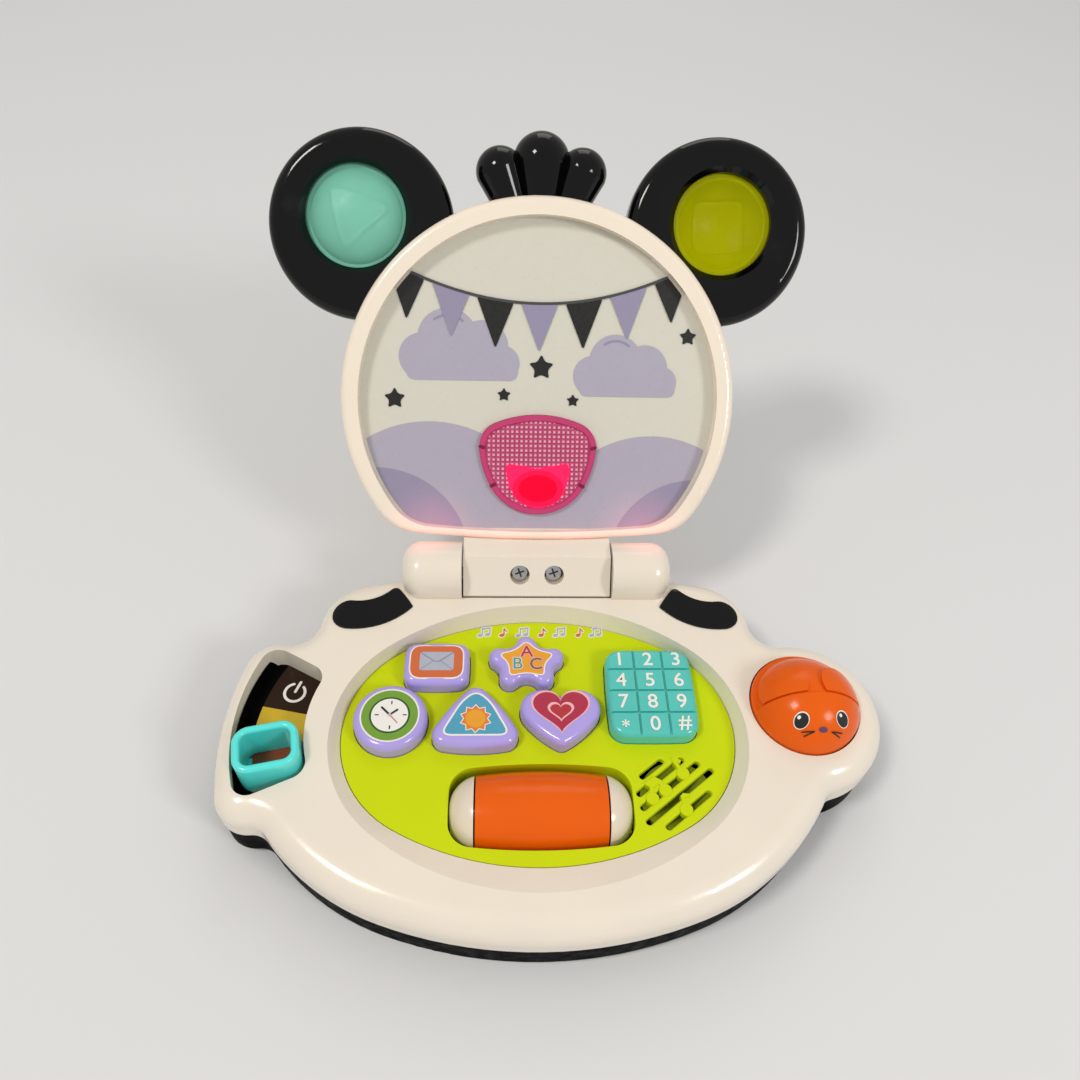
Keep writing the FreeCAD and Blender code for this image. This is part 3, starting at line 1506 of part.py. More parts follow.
def ear_half(label, way, front):
    """Front or back half of an ear, cut to fit against the round lid."""
    body = new_body(label)
    bottom = d.ear_middle if front else d.ear_back
    top = d.ear_front if front else d.ear_middle
    pad(body, Sketch(body, lift=bottom).circle(*ear_centre(way), d.ear_radius), top - bottom)
    rounded(body, level(top if front else bottom), d.ear_edge)
    x, y = ear_opening(way)
    if front:
        dish = Sketch(body, "XZ_Plane", lift=-y, shift=(x, 0))
        deep = top - d.ear_bevel_depth
        dish.loop([(0, top + 1), (d.ear_dish_radius, top + 1), (d.ear_dish_radius, top),
                   (d.ear_bevel_radius, top - d.ear_dish_depth), (d.ear_bore, deep), (0, deep)])
        turned(body, dish, "V_Axis", "Groove")
    pocket(body, Sketch(body, lift=top).circle(x, y, d.ear_bore), top - bottom)
    seat = d.bubble_flange_thickness / 2
    rim = Sketch(body, lift=d.ear_middle).circle(x, y, d.bubble_flange + d.fit_gap)
    pocket(body, rim, seat, up=front)
    pocket(body, Sketch(body, lift=top).smooth(lid_outline()), top - bottom)
    on_lid(body)


def bubble(label, way, bulge):
    """Silicone dome with a clamped rim; bulge is 1 where it stands out and -1 where it is pushed in."""
    body = new_body(label)
    half = d.bubble_flange_thickness / 2
    rise = d.bubble_height
    inner = d.bubble_radius - d.bubble_wall
    dome = (d.bubble_radius * d.bubble_radius + rise * rise) / (2 * rise)
    inner_dome = (inner * inner + rise * rise) / (2 * rise)
    crown = half + rise
    points = [(0, crown), (0, crown - d.bubble_wall), (inner, half - d.bubble_wall), (inner, -half),
              (d.bubble_flange, -half), (d.bubble_flange, half), (d.bubble_radius, half)]
    sketch = Sketch(body, "XZ_Plane")
    turned(body, sketch.loop(points, {1: (inner_dome, -1, False), 6: (dome, 1, False)}), "V_Axis")
    on_lid(body, *ear_opening(way), d.ear_middle)
    if bulge < 0:
        turn = d.lid_lean + 180
        bind(body, "Placement.Rotation.Angle", turn)


def top_tuft():
    """Three round-tipped lobes that fan out of the top of the lid."""
    body = new_body("top_tuft")
    lid_top = d.lid_centre + d.lid_radius
    root_y = lid_top - d.tuft_root_sink
    middle_y = lid_top + d.tuft_middle_rise
    side_y = lid_top + d.tuft_side_rise
    lobes = ((0, 0, middle_y, d.tuft_middle_radius),
             (-d.tuft_root_x, -d.tuft_side_x, side_y, d.tuft_side_radius),
             (d.tuft_root_x, d.tuft_side_x, side_y, d.tuft_side_radius))
    for root_x, tip_x, tip_y, radius in lobes:
        lean = math.degrees(math.atan2(size(root_x - tip_x).value, size(tip_y - root_y).value))
        length = root((tip_x - root_x) * (tip_x - root_x) + (tip_y - root_y) * (tip_y - root_y))
        profile = Sketch(body, lift=d.tuft_depth, spin=lean, shift=(root_x, root_y))
        points = [(0, 0), (d.tuft_root_radius, 0), (radius, length), (0, length + radius)]
        turned(body, profile.loop(points, {2: (radius, 1, False)}), "V_Axis")
    trim = Sketch(body, lift=d.lid_back - d.lid_radius).smooth(lid_outline())
    pocket(body, trim, 3 * d.lid_radius, up=True)
    on_lid(body)


# Screws


def screw_set(label, places, seat, length):
    """Screws driven upwards, as separate solids in one node; seat is the underside of the heads."""
    shapes = []
    for x, y in places:
        top = seat - d.screw_head_height
        shapes.append(cylinder("screw_head", d.screw_head, d.screw_head_height, x, y, top))
        shapes.append(cylinder("screw_shank", d.screw_shank, length, x, y, seat))
    return fused(label, shapes)


def screws():
    screw_set("case_screws", CASE_SCREWS, d.screw_recess,
              d.hollow_height + d.screw_bite - d.screw_recess - d.fit_gap)
    seat = d.lid_back + d.lid_screw_recess
    length = d.screen_face - d.screen_thickness - d.fit_gap - seat
    on_lid(screw_set("lid_screws", lid_screw_places(), seat, length))
    depth = d.knuckle_flat - d.knuckle_screw_recess - d.knuckle_screw_depth
    shapes = []
    for way in (-1, 1):
        x = d.knuckle_screw_x * way
        shapes.append(cylinder("knuckle_screw_head", d.knuckle_screw_head, d.knuckle_screw_depth, x, 0,
                               depth))
        shapes.append(cylinder("knuckle_screw_shank", d.knuckle_screw_shank, d.knuckle_screw_length, x, 0,
                               depth - d.knuckle_screw_length))
    on_lid(fused("hinge_screws", shapes))


def build():
    lower_shell()
    upper_shell()
    shoulder_inlays()
    keyboard_panel()
    buttons()
    roller()
    roller_axle()
    roller_cradle()
    slider_ring()
    slider_lever()
    slider_tray()
    mouse_button()
    mouse_switch()
    speaker()
    circuit_board()
    key_mat()
    cells()
    contacts()
    battery_door()
    battery_door_screw()
    hinge_pins()
    hinge_knuckle()
    lid_bezel()
    screen_plate()
    light_lens()
    lid_back_shell()
    lamp_board()
    for side, way in (("left", -1), ("right", 1)):
        ear_half(f"{side}_ear_front", way, True)
        ear_half(f"{side}_ear_back", way, False)
        bubble(f"{side}_ear_bubble", way, -way)
    top_tuft()
    screws()


def nodes():
    """The finished sub-parts: bodies, and solids that no other object uses."""
    for obj in doc.Objects:
        solid = obj.TypeId == "PartDesign::Body" or obj.TypeId.startswith("Part::")
        if solid and not obj.InList:
            yield obj


def write():
    doc.recompute()
    faults = [o.Name for o in doc.Objects if "Invalid" in o.State or "Error" in o.State]
    for node in nodes():
        if node.Shape.isNull() or not node.Shape.isValid():
            faults.append(node.Label)
    if faults:
        raise ValueError(f"these did not build: {faults}")
    os.makedirs("parts", exist_ok=True)
    for node in nodes():
        node.Shape.exportStep(f"parts/{node.Label}.step")


build()
write()
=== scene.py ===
"""The toy laptop's visual model: materials, prints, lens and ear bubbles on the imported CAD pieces."""
import math

import bpy
from mathutils import Matrix, Vector, geometry


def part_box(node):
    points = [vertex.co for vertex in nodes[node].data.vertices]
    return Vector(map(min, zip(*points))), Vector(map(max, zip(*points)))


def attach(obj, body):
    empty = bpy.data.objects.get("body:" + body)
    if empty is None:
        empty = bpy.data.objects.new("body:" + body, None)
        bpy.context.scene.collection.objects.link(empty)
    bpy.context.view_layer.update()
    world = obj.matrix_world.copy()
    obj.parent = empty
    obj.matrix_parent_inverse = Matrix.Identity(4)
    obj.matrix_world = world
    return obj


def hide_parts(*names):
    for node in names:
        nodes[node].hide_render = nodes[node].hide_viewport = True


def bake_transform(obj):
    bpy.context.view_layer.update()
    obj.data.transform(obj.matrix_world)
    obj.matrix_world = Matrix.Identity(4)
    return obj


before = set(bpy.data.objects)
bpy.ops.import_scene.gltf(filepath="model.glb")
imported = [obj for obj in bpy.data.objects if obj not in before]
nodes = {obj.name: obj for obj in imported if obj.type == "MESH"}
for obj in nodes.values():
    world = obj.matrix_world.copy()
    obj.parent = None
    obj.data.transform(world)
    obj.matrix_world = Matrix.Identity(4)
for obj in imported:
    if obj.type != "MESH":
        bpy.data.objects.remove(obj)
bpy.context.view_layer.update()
scene = bpy.context.scene
MM = 0.001


# Places on the part, in millimetres

HINGE_Y, HINGE_Z = 67.5, 40
LEAN = math.radians(52.4)
SCREEN_DEPTH = 6.4
PANEL_TOP = 27.4
SLIDER_PIVOT = (-42, 0.4)
EAR_X, EAR_UP, EAR_DEPTH = 72.3, 140, -11.9
BUTTONS = {"square": (-39.4, 27.2), "star": (-4.5, 28), "round": (-55.5, 3.9), "triangle": (-23.8, 2.9),
           "heart": (8, 5)}


def flat(origin, up=(0, 1, 0)):
    """Maps millimetres across, up and above a flat place to metres of the part's frame."""
    start, across, upward = Vector(origin), Vector((1, 0, 0)), Vector(up)
    out = across.cross(upward)
    return lambda x, y, lift: (start + across * x + upward * y + out * lift) * MM


lid_at = flat((0, HINGE_Y, HINGE_Z), (0, math.cos(LEAN), math.sin(LEAN)))


def in_lid(point):
    """The reverse of lid_at: millimetres across, up and above the lid for a point of the part's frame."""
    x, y, z = (value / MM for value in point)
    y, z = y - HINGE_Y, z - HINGE_Z
    return x, y * math.cos(LEAN) + z * math.sin(LEAN), z * math.cos(LEAN) - y * math.sin(LEAN)


def on_screen(x, up, lift):
    return lid_at(x, up, lift - SCREEN_DEPTH)


def on_screw_heads(x, up, lift):
    return lid_at(x, up, lift + 2.1)


def top_of(node):
    """The level top of a node."""
    return flat((0, 0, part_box(node)[1][2] / MM))


def draped(node):
    """The curved top of a node, straight below the given place."""
    obj = nodes[node]

    def at(x, y, lift):
        hit, spot, normal, _ = obj.ray_cast(Vector((x, y, 100)) * MM, Vector((0, 0, -1)))
        return spot + normal * lift * MM if hit else Vector((x, y, 0)) * MM
    return at


# Outlines, in millimetres and anticlockwise


def oval(x, y, wide, high=None, turn=0.0, count=40):
    high = high or wide
    cosine, sine = math.cos(turn), math.sin(turn)
    points = []
    for i in range(count):
        angle = 2 * math.pi * i / count
        u, v = wide * math.cos(angle), high * math.sin(angle)
        points.append((x + u * cosine - v * sine, y + u * sine + v * cosine))
    return points


def bend(x, y, radius, start, end, count=24):
    """Points along an arc, in degrees."""
    angles = [math.radians(start + (end - start) * i / count) for i in range(count + 1)]
    return [(x + radius * math.cos(a), y + radius * math.sin(a)) for a in angles]


def rounded(corners, radius, steps=6):
    """A polygon whose corners are replaced by short curves."""
    points = []
    for i, corner in enumerate(corners):
        middle = Vector(corner)
        before = Vector(corners[i - 1]) - middle
        after = Vector(corners[(i + 1) % len(corners)]) - middle
        cut = min(radius, before.length * 0.49, after.length * 0.49)
        start, end = middle + before.normalized() * cut, middle + after.normalized() * cut
        for k in range(steps + 1):
            t = k / steps
            points.append(tuple(start * (1 - t) ** 2 + middle * 2 * t * (1 - t) + end * t * t))
    return points


def rectangle(x, y, width, depth):
    return [(x + width / 2 * u, y + depth / 2 * v) for u, v in ((-1, -1), (1, -1), (1, 1), (-1, 1))]


def block(x, y, width, depth, radius):
    return rounded(rectangle(x, y, width, depth), radius)


def star(x, y, outer, inner, tips, radius=0.0, squash=1.0):
    """A star with one tip up, its corners rounded and its height squashed where asked."""
    corners = []
    for i in range(2 * tips):
        angle = math.radians(90 + 180 * i / tips)
        reach = inner if i % 2 else outer
        corners.append((x + reach * math.cos(angle), y + reach * squash * math.sin(angle)))
    return rounded(corners, radius) if radius else corners


def heart(x, y, width, height, count=60):
    """The well-known heart curve, which is 32 wide and 29 high, scaled to the given size."""
    points = []
    for i in range(count):
        t = 2 * math.pi * (i + 0.5) / count
        u = 16 * math.sin(t) ** 3
        v = 13 * math.cos(t) - 5 * math.cos(2 * t) - 2 * math.cos(3 * t) - math.cos(4 * t)
        points.append((x - u * width / 32, y + (v + 2.5) * height / 29))
    return points


def grown(points, amount):
    """The same outline moved outwards, or inwards for a negative amount."""
    result = []
    for i, point in enumerate(points):
        along = Vector(points[(i + 1) % len(points)]) - Vector(points[i - 1])
        along.normalize()
        result.append((point[0] + along.y * amount, point[1] - along.x * amount))
    return result


def ribbon(path, width):
    """The outline of a stroke with round ends along a path."""
    spots = [Vector(p) for p in path]
    left, right = [], []
    for i, spot in enumerate(spots):
        along = (spots[min(i + 1, len(spots) - 1)] - spots[max(i - 1, 0)]).normalized()
        side = Vector((-along.y, along.x)) * width / 2
        left.append(spot + side)
        right.append(spot - side)
    ends = []
    for spot, near in ((spots[-1], spots[-2]), (spots[0], spots[1])):
        ahead = math.atan2((spot - near).y, (spot - near).x)
        ends.append([Vector((math.cos(ahead + a), math.sin(ahead + a))) * width / 2 + spot
                     for a in (-1.05, -0.52, 0, 0.52, 1.05)])
    return [tuple(p) for p in right + ends[0] + left[::-1] + ends[1]]


def turned(points, x, y, degrees):
    cosine, sine = math.cos(math.radians(degrees)), math.sin(math.radians(degrees))
    return [(x + (px - x) * cosine - (py - y) * sine, y + (px - x) * sine + (py - y) * cosine)
            for px, py in points]


def anticlockwise(points):
    area = sum(a[0] * b[1] - b[0] * a[1] for a, b in zip(points, points[1:] + points[:1]))
    return points if area > 0 else points[::-1]


def inside(x, y, points):
    hit = False
    for (ax, ay), (bx, by) in zip(points, points[1:] + points[:1]):
        if (ay > y) != (by > y) and x < (bx - ax) * (y - ay) / (by - ay) + ax:
            hit = not hit
    return hit


def clipped(outline, edge):
    """The part of an outline that lies inside a convex edge."""
    for i, end in enumerate(edge):
        start, kept = edge[i - 1], []

        def side(p):
            return (end[0] - start[0]) * (p[1] - start[1]) - (end[1] - start[1]) * (p[0] - start[0])
        for k, point in enumerate(outline):
            before = outline[k - 1]
            a, b = side(before), side(point)
            if (a < 0) != (b < 0):
                t = a / (a - b)
                kept.append(tuple(p + (q - p) * t for p, q in zip(before, point)))
            if b >= 0:
                kept.append(point)
        outline = kept
    return outline


# Meshes


def add(name, data):
    obj = bpy.data.objects.new(name, data)
    scene.collection.objects.link(obj)
    return obj


def sheet_mesh(name, verts, faces, mats, slots=None, smooth=False):
    mesh = bpy.data.meshes.new(name)
    mesh.from_pydata([tuple(v) for v in verts], [], [tuple(f) for f in faces])
    for mat in mats:
        mesh.materials.append(mat)
    for i, polygon in enumerate(mesh.polygons):
        polygon.material_index = slots[i] if slots else 0
        polygon.use_smooth = smooth
    mesh.validate()
    mesh.update()
    return add(name, mesh)


class Print:
    """Printed shapes gathered in one thin piece, each a hair above the last."""

    def __init__(self, name, body, at, step=0.03):
        self.name, self.body, self.at, self.step = name, body, at, step
        self.lift = step
        self.verts, self.faces, self.slots, self.mats = [], [], [], []

    def paint(self, mat, count):
        """Gives the last faces their ink, and lifts what comes next above them."""
        if mat not in self.mats:
            self.mats.append(mat)
        self.slots += [self.mats.index(mat)] * count
        self.lift += self.step

    def fill(self, outline, mat, rings=1):
        """A filled outline, in rings where it has to follow a curved place."""
        outline = anticlockwise(outline)
        count = len(outline)
        x, y = (sum(p[i] for p in outline) / count for i in (0, 1))
        start = len(self.verts)
        for ring in range(rings):
            share = 1 - ring / rings
            for px, py in outline:
                self.verts.append(self.at(x + (px - x) * share, y + (py - y) * share, self.lift))
        for ring in range(rings - 1):
            near = start + ring * count
            for i in range(count):
                j = (i + 1) % count
                self.faces.append((near + i, near + j, near + count + j, near + count + i))
        self.faces.append(range(start + (rings - 1) * count, start + rings * count))
        self.paint(mat, 1 + (rings - 1) * count)

    def stroke(self, path, width, mat):
        self.fill(ribbon(path, width), mat)

    def text(self, words, x, y, height, mat, swell):
        """Letters whose strokes are widened by swell, centred on a place."""
        curve = bpy.data.curves.new("glyph", "FONT")
        curve.body, curve.size, curve.offset = words, height * 1.4, swell
        curve.align_x = "CENTER"
        curve.resolution_u = 6
        glyph = add("glyph", curve)
        bpy.context.view_layer.update()
        mesh = bpy.data.meshes.new_from_object(glyph.evaluated_get(bpy.context.evaluated_depsgraph_get()))
        start = len(self.verts)
        low = min(v.co.y for v in mesh.vertices)
        high = max(v.co.y for v in mesh.vertices)
        self.verts += [self.at(x + v.co.x, y + v.co.y - (low + high) / 2, self.lift) for v in mesh.vertices]
        self.faces += [[start + i for i in p.vertices] for p in mesh.polygons]
        self.paint(mat, len(mesh.polygons))
        bpy.data.objects.remove(glyph)
        bpy.data.curves.remove(curve)
        bpy.data.meshes.remove(mesh)

    def done(self, slot):
        piece = sheet_mesh(self.name, self.verts, self.faces, self.mats, self.slots)
        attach(piece, self.body)


# Materials: a shader, and noise in the part's own coordinates that varies it


class Look:
    def __init__(self, name, colour, roughness, **sockets):
        self.mat = bpy.data.materials.new(name)
        self.mat.use_nodes = True
        self.tree = self.mat.node_tree
        self.shader = self.tree.nodes["Principled BSDF"]
        self.colour = colour
        self.set("Base Color", (*colour, 1))
        self.set("Roughness", roughness)
        self.mat.diffuse_color = (*colour, 1)
        for socket, value in sockets.items():
            self.set(socket.replace("_", " "), value)
        self.place = self.node("ShaderNodeTexCoord").outputs["Object"]

    def set(self, socket, value):
        self.shader.inputs[socket].default_value = value

    def node(self, kind, **settings):
        made = self.tree.nodes.new(kind)
        for key, value in settings.items():
            setattr(made, key, value)
        return made

    def link(self, source, target):
        self.tree.links.new(source, target)

    def noise(self, scale, detail=2, stretch=None):
        place = self.place
        if stretch:
            mapping = self.node("ShaderNodeMapping")
            mapping.inputs["Scale"].default_value = stretch
            self.link(place, mapping.inputs["Vector"])
            place = mapping.outputs["Vector"]
        made = self.node("ShaderNodeTexNoise")
        made.inputs["Scale"].default_value = scale
        made.inputs["Detail"].default_value = detail
        self.link(place, made.inputs["Vector"])
        return made.outputs["Fac"]

    def vary(self, share, scale):
        """Cloudy change of the colour, as in moulded plastic."""
        amount = self.noise(scale)
        made = self.node("ShaderNodeMix", data_type="RGBA")
        self.link(amount, made.inputs[0])
        for socket, factor in ((6, 1 - share), (7, 1 + share)):
            made.inputs[socket].default_value = (*(min(1, c * factor) for c in self.colour), 1)
        self.link(made.outputs[2], self.shader.inputs["Base Color"])

    def gloss(self, low, high, scale):
        """Handling haze: a roughness that changes between two values."""
        amount = self.noise(scale, 4)
        made = self.node("ShaderNodeMapRange")
        for socket, value in (("From Min", 0.3), ("From Max", 0.7), ("To Min", low), ("To Max", high)):
            made.inputs[socket].default_value = value
        self.link(amount, made.inputs["Value"])
        self.link(made.outputs["Result"], self.shader.inputs["Roughness"])

    def bump(self, amount, depth, strength=1.0):
        made = self.node("ShaderNodeBump")
        made.inputs["Distance"].default_value = depth * MM
        made.inputs["Strength"].default_value = strength
        self.link(amount, made.inputs["Height"])
        self.link(made.outputs["Normal"], self.shader.inputs["Normal"])

    def lamp_glow(self, spots, strength):
        """Pink light of the lamp, fading out around spots that are given as a place and a reach."""
        total = None
        for place, reach in spots:
            offset = self.node("ShaderNodeVectorMath", operation="DISTANCE")
            self.link(self.place, offset.inputs[0])
            offset.inputs[1].default_value = place
            fade = self.node("ShaderNodeMapRange", interpolation_type="SMOOTHSTEP")
            for socket, value in (("From Min", reach * MM), ("From Max", 0), ("To Max", strength)):
                fade.inputs[socket].default_value = value
            self.link(offset.outputs["Value"], fade.inputs["Value"])
            light = fade.outputs["Result"]
            if total:
                both = self.node("ShaderNodeMath", operation="ADD")
                self.link(light, both.inputs[0])
                self.link(total, both.inputs[1])
                light = both.outputs["Value"]
            total = light
        self.set("Emission Color", (1, 0.22, 0.26, 1))
        self.link(total, self.shader.inputs["Emission Strength"])


def look_gloss(name, colour, roughness=0.2, share=0.04, coat=0.25, mirror=0.5):
    """Gloss-moulded plastic: soft flow marks, a faint orange-peel surface and fine handling haze."""
    look = Look(name, colour, roughness, Coat_Weight=coat, Coat_Roughness=0.08, Specular_IOR_Level=mirror)
    look.vary(share, 40)
    look.gloss(roughness * 0.75, roughness * 1.3, 260)
    look.bump(look.noise(420), 0.012)
    return look


def shiny(*settings):
    return look_gloss(*settings).mat


def look_bezel():
    """White rim, lit pink near the lamp at the foot of the screen."""
    look = look_gloss("white_bezel", (0.9, 0.8, 0.67))
    spots = ((-43, 25), (-14, 22), (14, 22), (43, 25))
    look.lamp_glow([(lid_at(x, 17, -5), reach) for x, reach in spots], 0.3)
    return look.mat


def look_shell():
    """White shell, with a little of the same light on top of the hinge barrels."""
    look = look_gloss("white_shell", WHITE)
    look.lamp_glow([((x * MM, 0.0755, 0.053), 13) for x in (-50, -42, 42, 50)], 0.3)
    return look.mat


def sticker(name, colour, share=0.05, lit=None):
    """Printed and laminated paper, with the lamp's light on it around lit places."""
    look = Look(name, colour, 0.32, Coat_Weight=0.15, Coat_Roughness=0.15)
    look.vary(share, 300)
    look.gloss(0.26, 0.4, 700)
    look.bump(look.noise(1800), 0.004)
    if lit:
        look.lamp_glow(lit, 0.2)
    return look.mat


def look_floor():
    look = Look("floor", (0.71, 0.715, 0.725), 0.9)
    look.vary(0.01, 3)
    return look.mat


def look_deck():
    """Lime panel with a fine spark-eroded grain."""
    look = Look("lime_deck", (0.58, 0.69, 0.004), 0.42, Specular_IOR_Level=0.12)
    look.vary(0.05, 30)
    look.gloss(0.36, 0.52, 900)
    look.bump(look.noise(2200, 3), 0.05, 0.7)
    return look.mat


def look_silicone(name, colour, mirror=0.22):
    """Soft silicone that lets a little light through."""
    look = Look(name, colour, 0.38, Subsurface_Weight=0.35, Subsurface_Scale=0.004,
                Specular_IOR_Level=mirror)
    look.set("Subsurface Radius", (1, 0.9, 0.7))
    look.vary(0.06, 90)
    look.gloss(0.3, 0.46, 500)
    look.bump(look.noise(900), 0.01)
    return look.mat


def look_metal(name, colour, roughness):
    """Metal with fine drawing marks across the part."""
    look = Look(name, colour, roughness, Metallic=1)
    look.vary(0.12, 700)
    look.gloss(roughness * 0.7, roughness * 1.4, 1500)
    look.bump(look.noise(300, 3, (1, 14, 14)), 0.006)
    return look.mat


def look_lens(name, colour, glow, light=(1, 0.02, 0.08), mirror=0.3):
    """Pink clear plastic over a red lamp."""
    look = Look(name, colour, 0.12, Transmission_Weight=0.15, IOR=1.49, Specular_IOR_Level=mirror)
    look.vary(0.08, 160)
    look.gloss(0.08, 0.18, 600)
    look.set("Emission Color", (*light, 1))
    look.set("Emission Strength", glow)
    return look.mat


# Materials of the CAD pieces

WHITE = (0.83, 0.755, 0.645)
white = shiny("white_lid", WHITE)
black = shiny("black_gloss", (0.0015, 0.0015, 0.0018), 0.07, 0.25, 0, 0.3)
black_base = shiny("black_base", (0.002, 0.002, 0.0025), 0.5, 0.25, 0, 0.02)
# Olive on the speaker seen through the grille slots: painted shade of the lime slot walls.
slot_shade_olive = shiny("speaker_cone", (0.2, 0.24, 0.012), 0.6, 0.2, 0, 0.1)
purple = shiny("purple_keys", (0.43, 0.35, 0.8), 0.17, 0.05)
teal = shiny("teal_pad", (0.085, 0.56, 0.5), 0.2, 0.06)
ring_teal = shiny("teal_ring", (0.1, 0.8, 0.76), 0.2, 0.06)
orange = shiny("orange_gloss", (0.8, 0.115, 0.003), 0.2, 0.06, 0.05, 0.18)
inner = shiny("inner_plastic", (0.5, 0.5, 0.48), 0.4)
board = shiny("board_green", (0.02, 0.13, 0.05), 0.35, 0.12)
tray = shiny("tray_brown", (0.028, 0.014, 0.008), 0.35, 0.15, 0, 0.1)
# A darker copy of the white plastic for the roller's cradle: painted shade of the roller's opening under the
# panel.
shaded_cradle_white = shiny("cradle_white", (0.78, 0.68, 0.57))
steel = look_metal("dark_steel", (0.32, 0.31, 0.3), 0.32)
shell_metal = look_metal("cell_metal", (0.6, 0.6, 0.62), 0.3)
silicone_mat = look_silicone("mat_silicone", (0.6, 0.6, 0.57))
deck = look_deck()
ground = sticker("screen_ground", (0.66, 0.645, 0.56), 0.02)

PAINT = {
    look_shell(): ["upper_shell"],
    white: ["lid_back_shell", "hinge_knuckle"],
    shaded_cradle_white: ["roller_cradle"],
    look_bezel(): ["lid_bezel"],
    black: ["left_ear_front", "left_ear_back", "right_ear_front", "right_ear_back", "top_tuft",
            "left_shoulder_inlay", "right_shoulder_inlay"],
    black_base: ["lower_shell", "battery_door"],
    deck: ["keyboard_panel"],
    purple: [shape + "_button" for shape in BUTTONS],
    teal: ["number_pad"],
    ring_teal: ["slider_ring"],
    orange: ["roller", "mouse_button"],
    tray: ["slider_tray"],
    inner: ["slider_lever"],
    ground: ["screen_plate"],
    silicone_mat: ["key_mat"],
    board: ["circuit_board", "lamp_board", "mouse_switch"],
    steel: ["roller_axle", "hinge_pins", "case_screws", "lid_screws", "battery_door_screw",
            "battery_contacts"],
    slot_shade_olive: ["speaker"],
    shell_metal: ["cells", "hinge_screws"],
}
for mat, names in PAINT.items():
    for name in names:
        mesh = nodes[name].data
        mesh.materials.clear()
        mesh.materials.append(mat)
        mesh.shade_smooth()
        mesh.set_sharp_from_angle(angle=math.radians(35))


# Inks

lamp_side = [(on_screen(x, 15, 0), 24) for x in (-43, 43)]
ink_white = sticker("ink_white", (0.85, 0.83, 0.78), 0.02)
ink_black = sticker("ink_black", (0.006, 0.006, 0.006), 0.1)
ink_grey = sticker("ink_grey", (0.055, 0.055, 0.06))
ink_lavender = sticker("ink_lavender", (0.42, 0.395, 0.49), 0.03, lamp_side)
ink_violet = sticker("ink_violet", (0.3, 0.27, 0.4), 0.03, lamp_side)
ink_orange = sticker("ink_orange", (0.62, 0.13, 0.03))
ink_slate = sticker("ink_slate", (0.42, 0.44, 0.53))
ink_fold = sticker("ink_fold", (0.22, 0.24, 0.33))
ink_amber = sticker("ink_amber", (0.8, 0.34, 0.012))
ink_red = sticker("ink_red", (0.45, 0.02, 0.03))
ink_sea = sticker("ink_sea", (0.09, 0.3, 0.31))
ink_brown = sticker("ink_brown", (0.17, 0.1, 0.02))
ink_green = sticker("ink_green", (0.16, 0.33, 0.025))
ink_pine = sticker("ink_pine", (0.012, 0.085, 0.012))
ink_sky = sticker("ink_sky", (0.07, 0.34, 0.5))
ink_sun = sticker("ink_sun", (0.75, 0.2, 0.015))
ink_rose = sticker("ink_rose", (0.42, 0.014, 0.055))
ink_pink = sticker("ink_pink", (0.85, 0.45, 0.5))
ink_yellow = sticker("ink_yellow", (0.6, 0.4, 0.008))
ink_rust = sticker("ink_rust", (0.3, 0.055, 0.015))
ink_plum = sticker("ink_plum", (0.1, 0.035, 0.13))


# Camera, floor and light


def photo_camera():
    """The photograph's camera: a little left of the middle, 49 degrees down and rolled by 3.5 degrees."""
    tilt, turn, roll = 0.853, -0.072, 0.061
    focal_pixels, image_pixels = 860, 1080
    spin = Matrix.Rotation(turn, 3, "Z")
    ahead = spin @ Vector((0, math.cos(tilt), -math.sin(tilt)))
    right = spin @ Vector((1, 0, 0))
    up = right.cross(ahead)
    across = math.cos(roll) * right + math.sin(roll) * up
    above = math.cos(roll) * up - math.sin(roll) * right
    camera = add("photo_camera", bpy.data.cameras.new("photo_camera"))
    camera.data.sensor_fit = "HORIZONTAL"
    camera.data.sensor_width = 36
    camera.data.lens = 36 * focal_pixels / image_pixels
    camera.data.clip_start = 0.01
    place = Matrix((across, above, -ahead)).transposed().to_4x4()
    place.translation = Vector((-15.5, -157.1, 317.8)) * MM
    camera.matrix_world = place
    scene.camera = camera


def soft_light(name, place, width, power, colour):
    """A square lamp that looks at the middle of the part."""
    light = add(name, bpy.data.lights.new(name, "AREA"))
    light.data.shape = "SQUARE"
    light.data.size = width * MM
    light.data.energy = power
    light.data.color = colour
    light.location = Vector(place) * MM
    toward = Vector((0, 0, 60)) * MM - light.location
    light.rotation_euler = toward.to_track_quat("-Z", "Y").to_euler()


def studio():
    scene.view_settings.view_transform = "Standard"
    world = bpy.data.worlds.new("studio")
    world.use_nodes = True
    world.node_tree.nodes["Background"].inputs["Color"].default_value = (1, 0.985, 0.96, 1)
    world.node_tree.nodes["Background"].inputs["Strength"].default_value = 0.52
    scene.world = world
    soft_light("key", (-1000, -500, 1900), 420, 16.5, (1, 0.95, 0.88))
    soft_light("fill", (1000, -800, 1000), 350, 7.2, (1, 0.98, 0.95))
    soft_light("back", (150, 1400, 1200), 800, 3, (1, 0.98, 0.95))
    size = 2500 * MM
    corners = [(-size, -size, 0), (size, -size, 0), (size, size, 0), (-size, size, 0)]
    floor = sheet_mesh("floor", corners, [(0, 1, 2, 3)], [look_floor()])


# Stickers on the shaped buttons


def button_print(shape):
    return Print(shape + "_sticker", shape + "_button_body", top_of(shape + "_button"))


def envelope_sticker():
    x, y = BUTTONS["square"]
    art = Print("square_sticker", "square_button_body", draped("square_button"), 0.04)
    edge = block(x, y, 21.2, 15.4, 5)
    art.fill(edge, ink_white, 24)
    art.fill(grown(edge, -0.55), ink_orange, 24)
    art.fill(block(x, y + 0.2, 13.2, 8.4, 1.2), ink_slate)
    for side in (-1, 1):
        art.stroke([(x + 6.2 * side, y - 3.6), (x + 1.6 * side, y + 0.1)], 0.22, ink_fold)
    art.stroke([(x - 6.2, y + 4), (x - 1, y + 0.1), (x + 1, y + 0.1), (x + 6.2, y + 4)], 0.3, ink_fold)
    art.done("purple_keys")


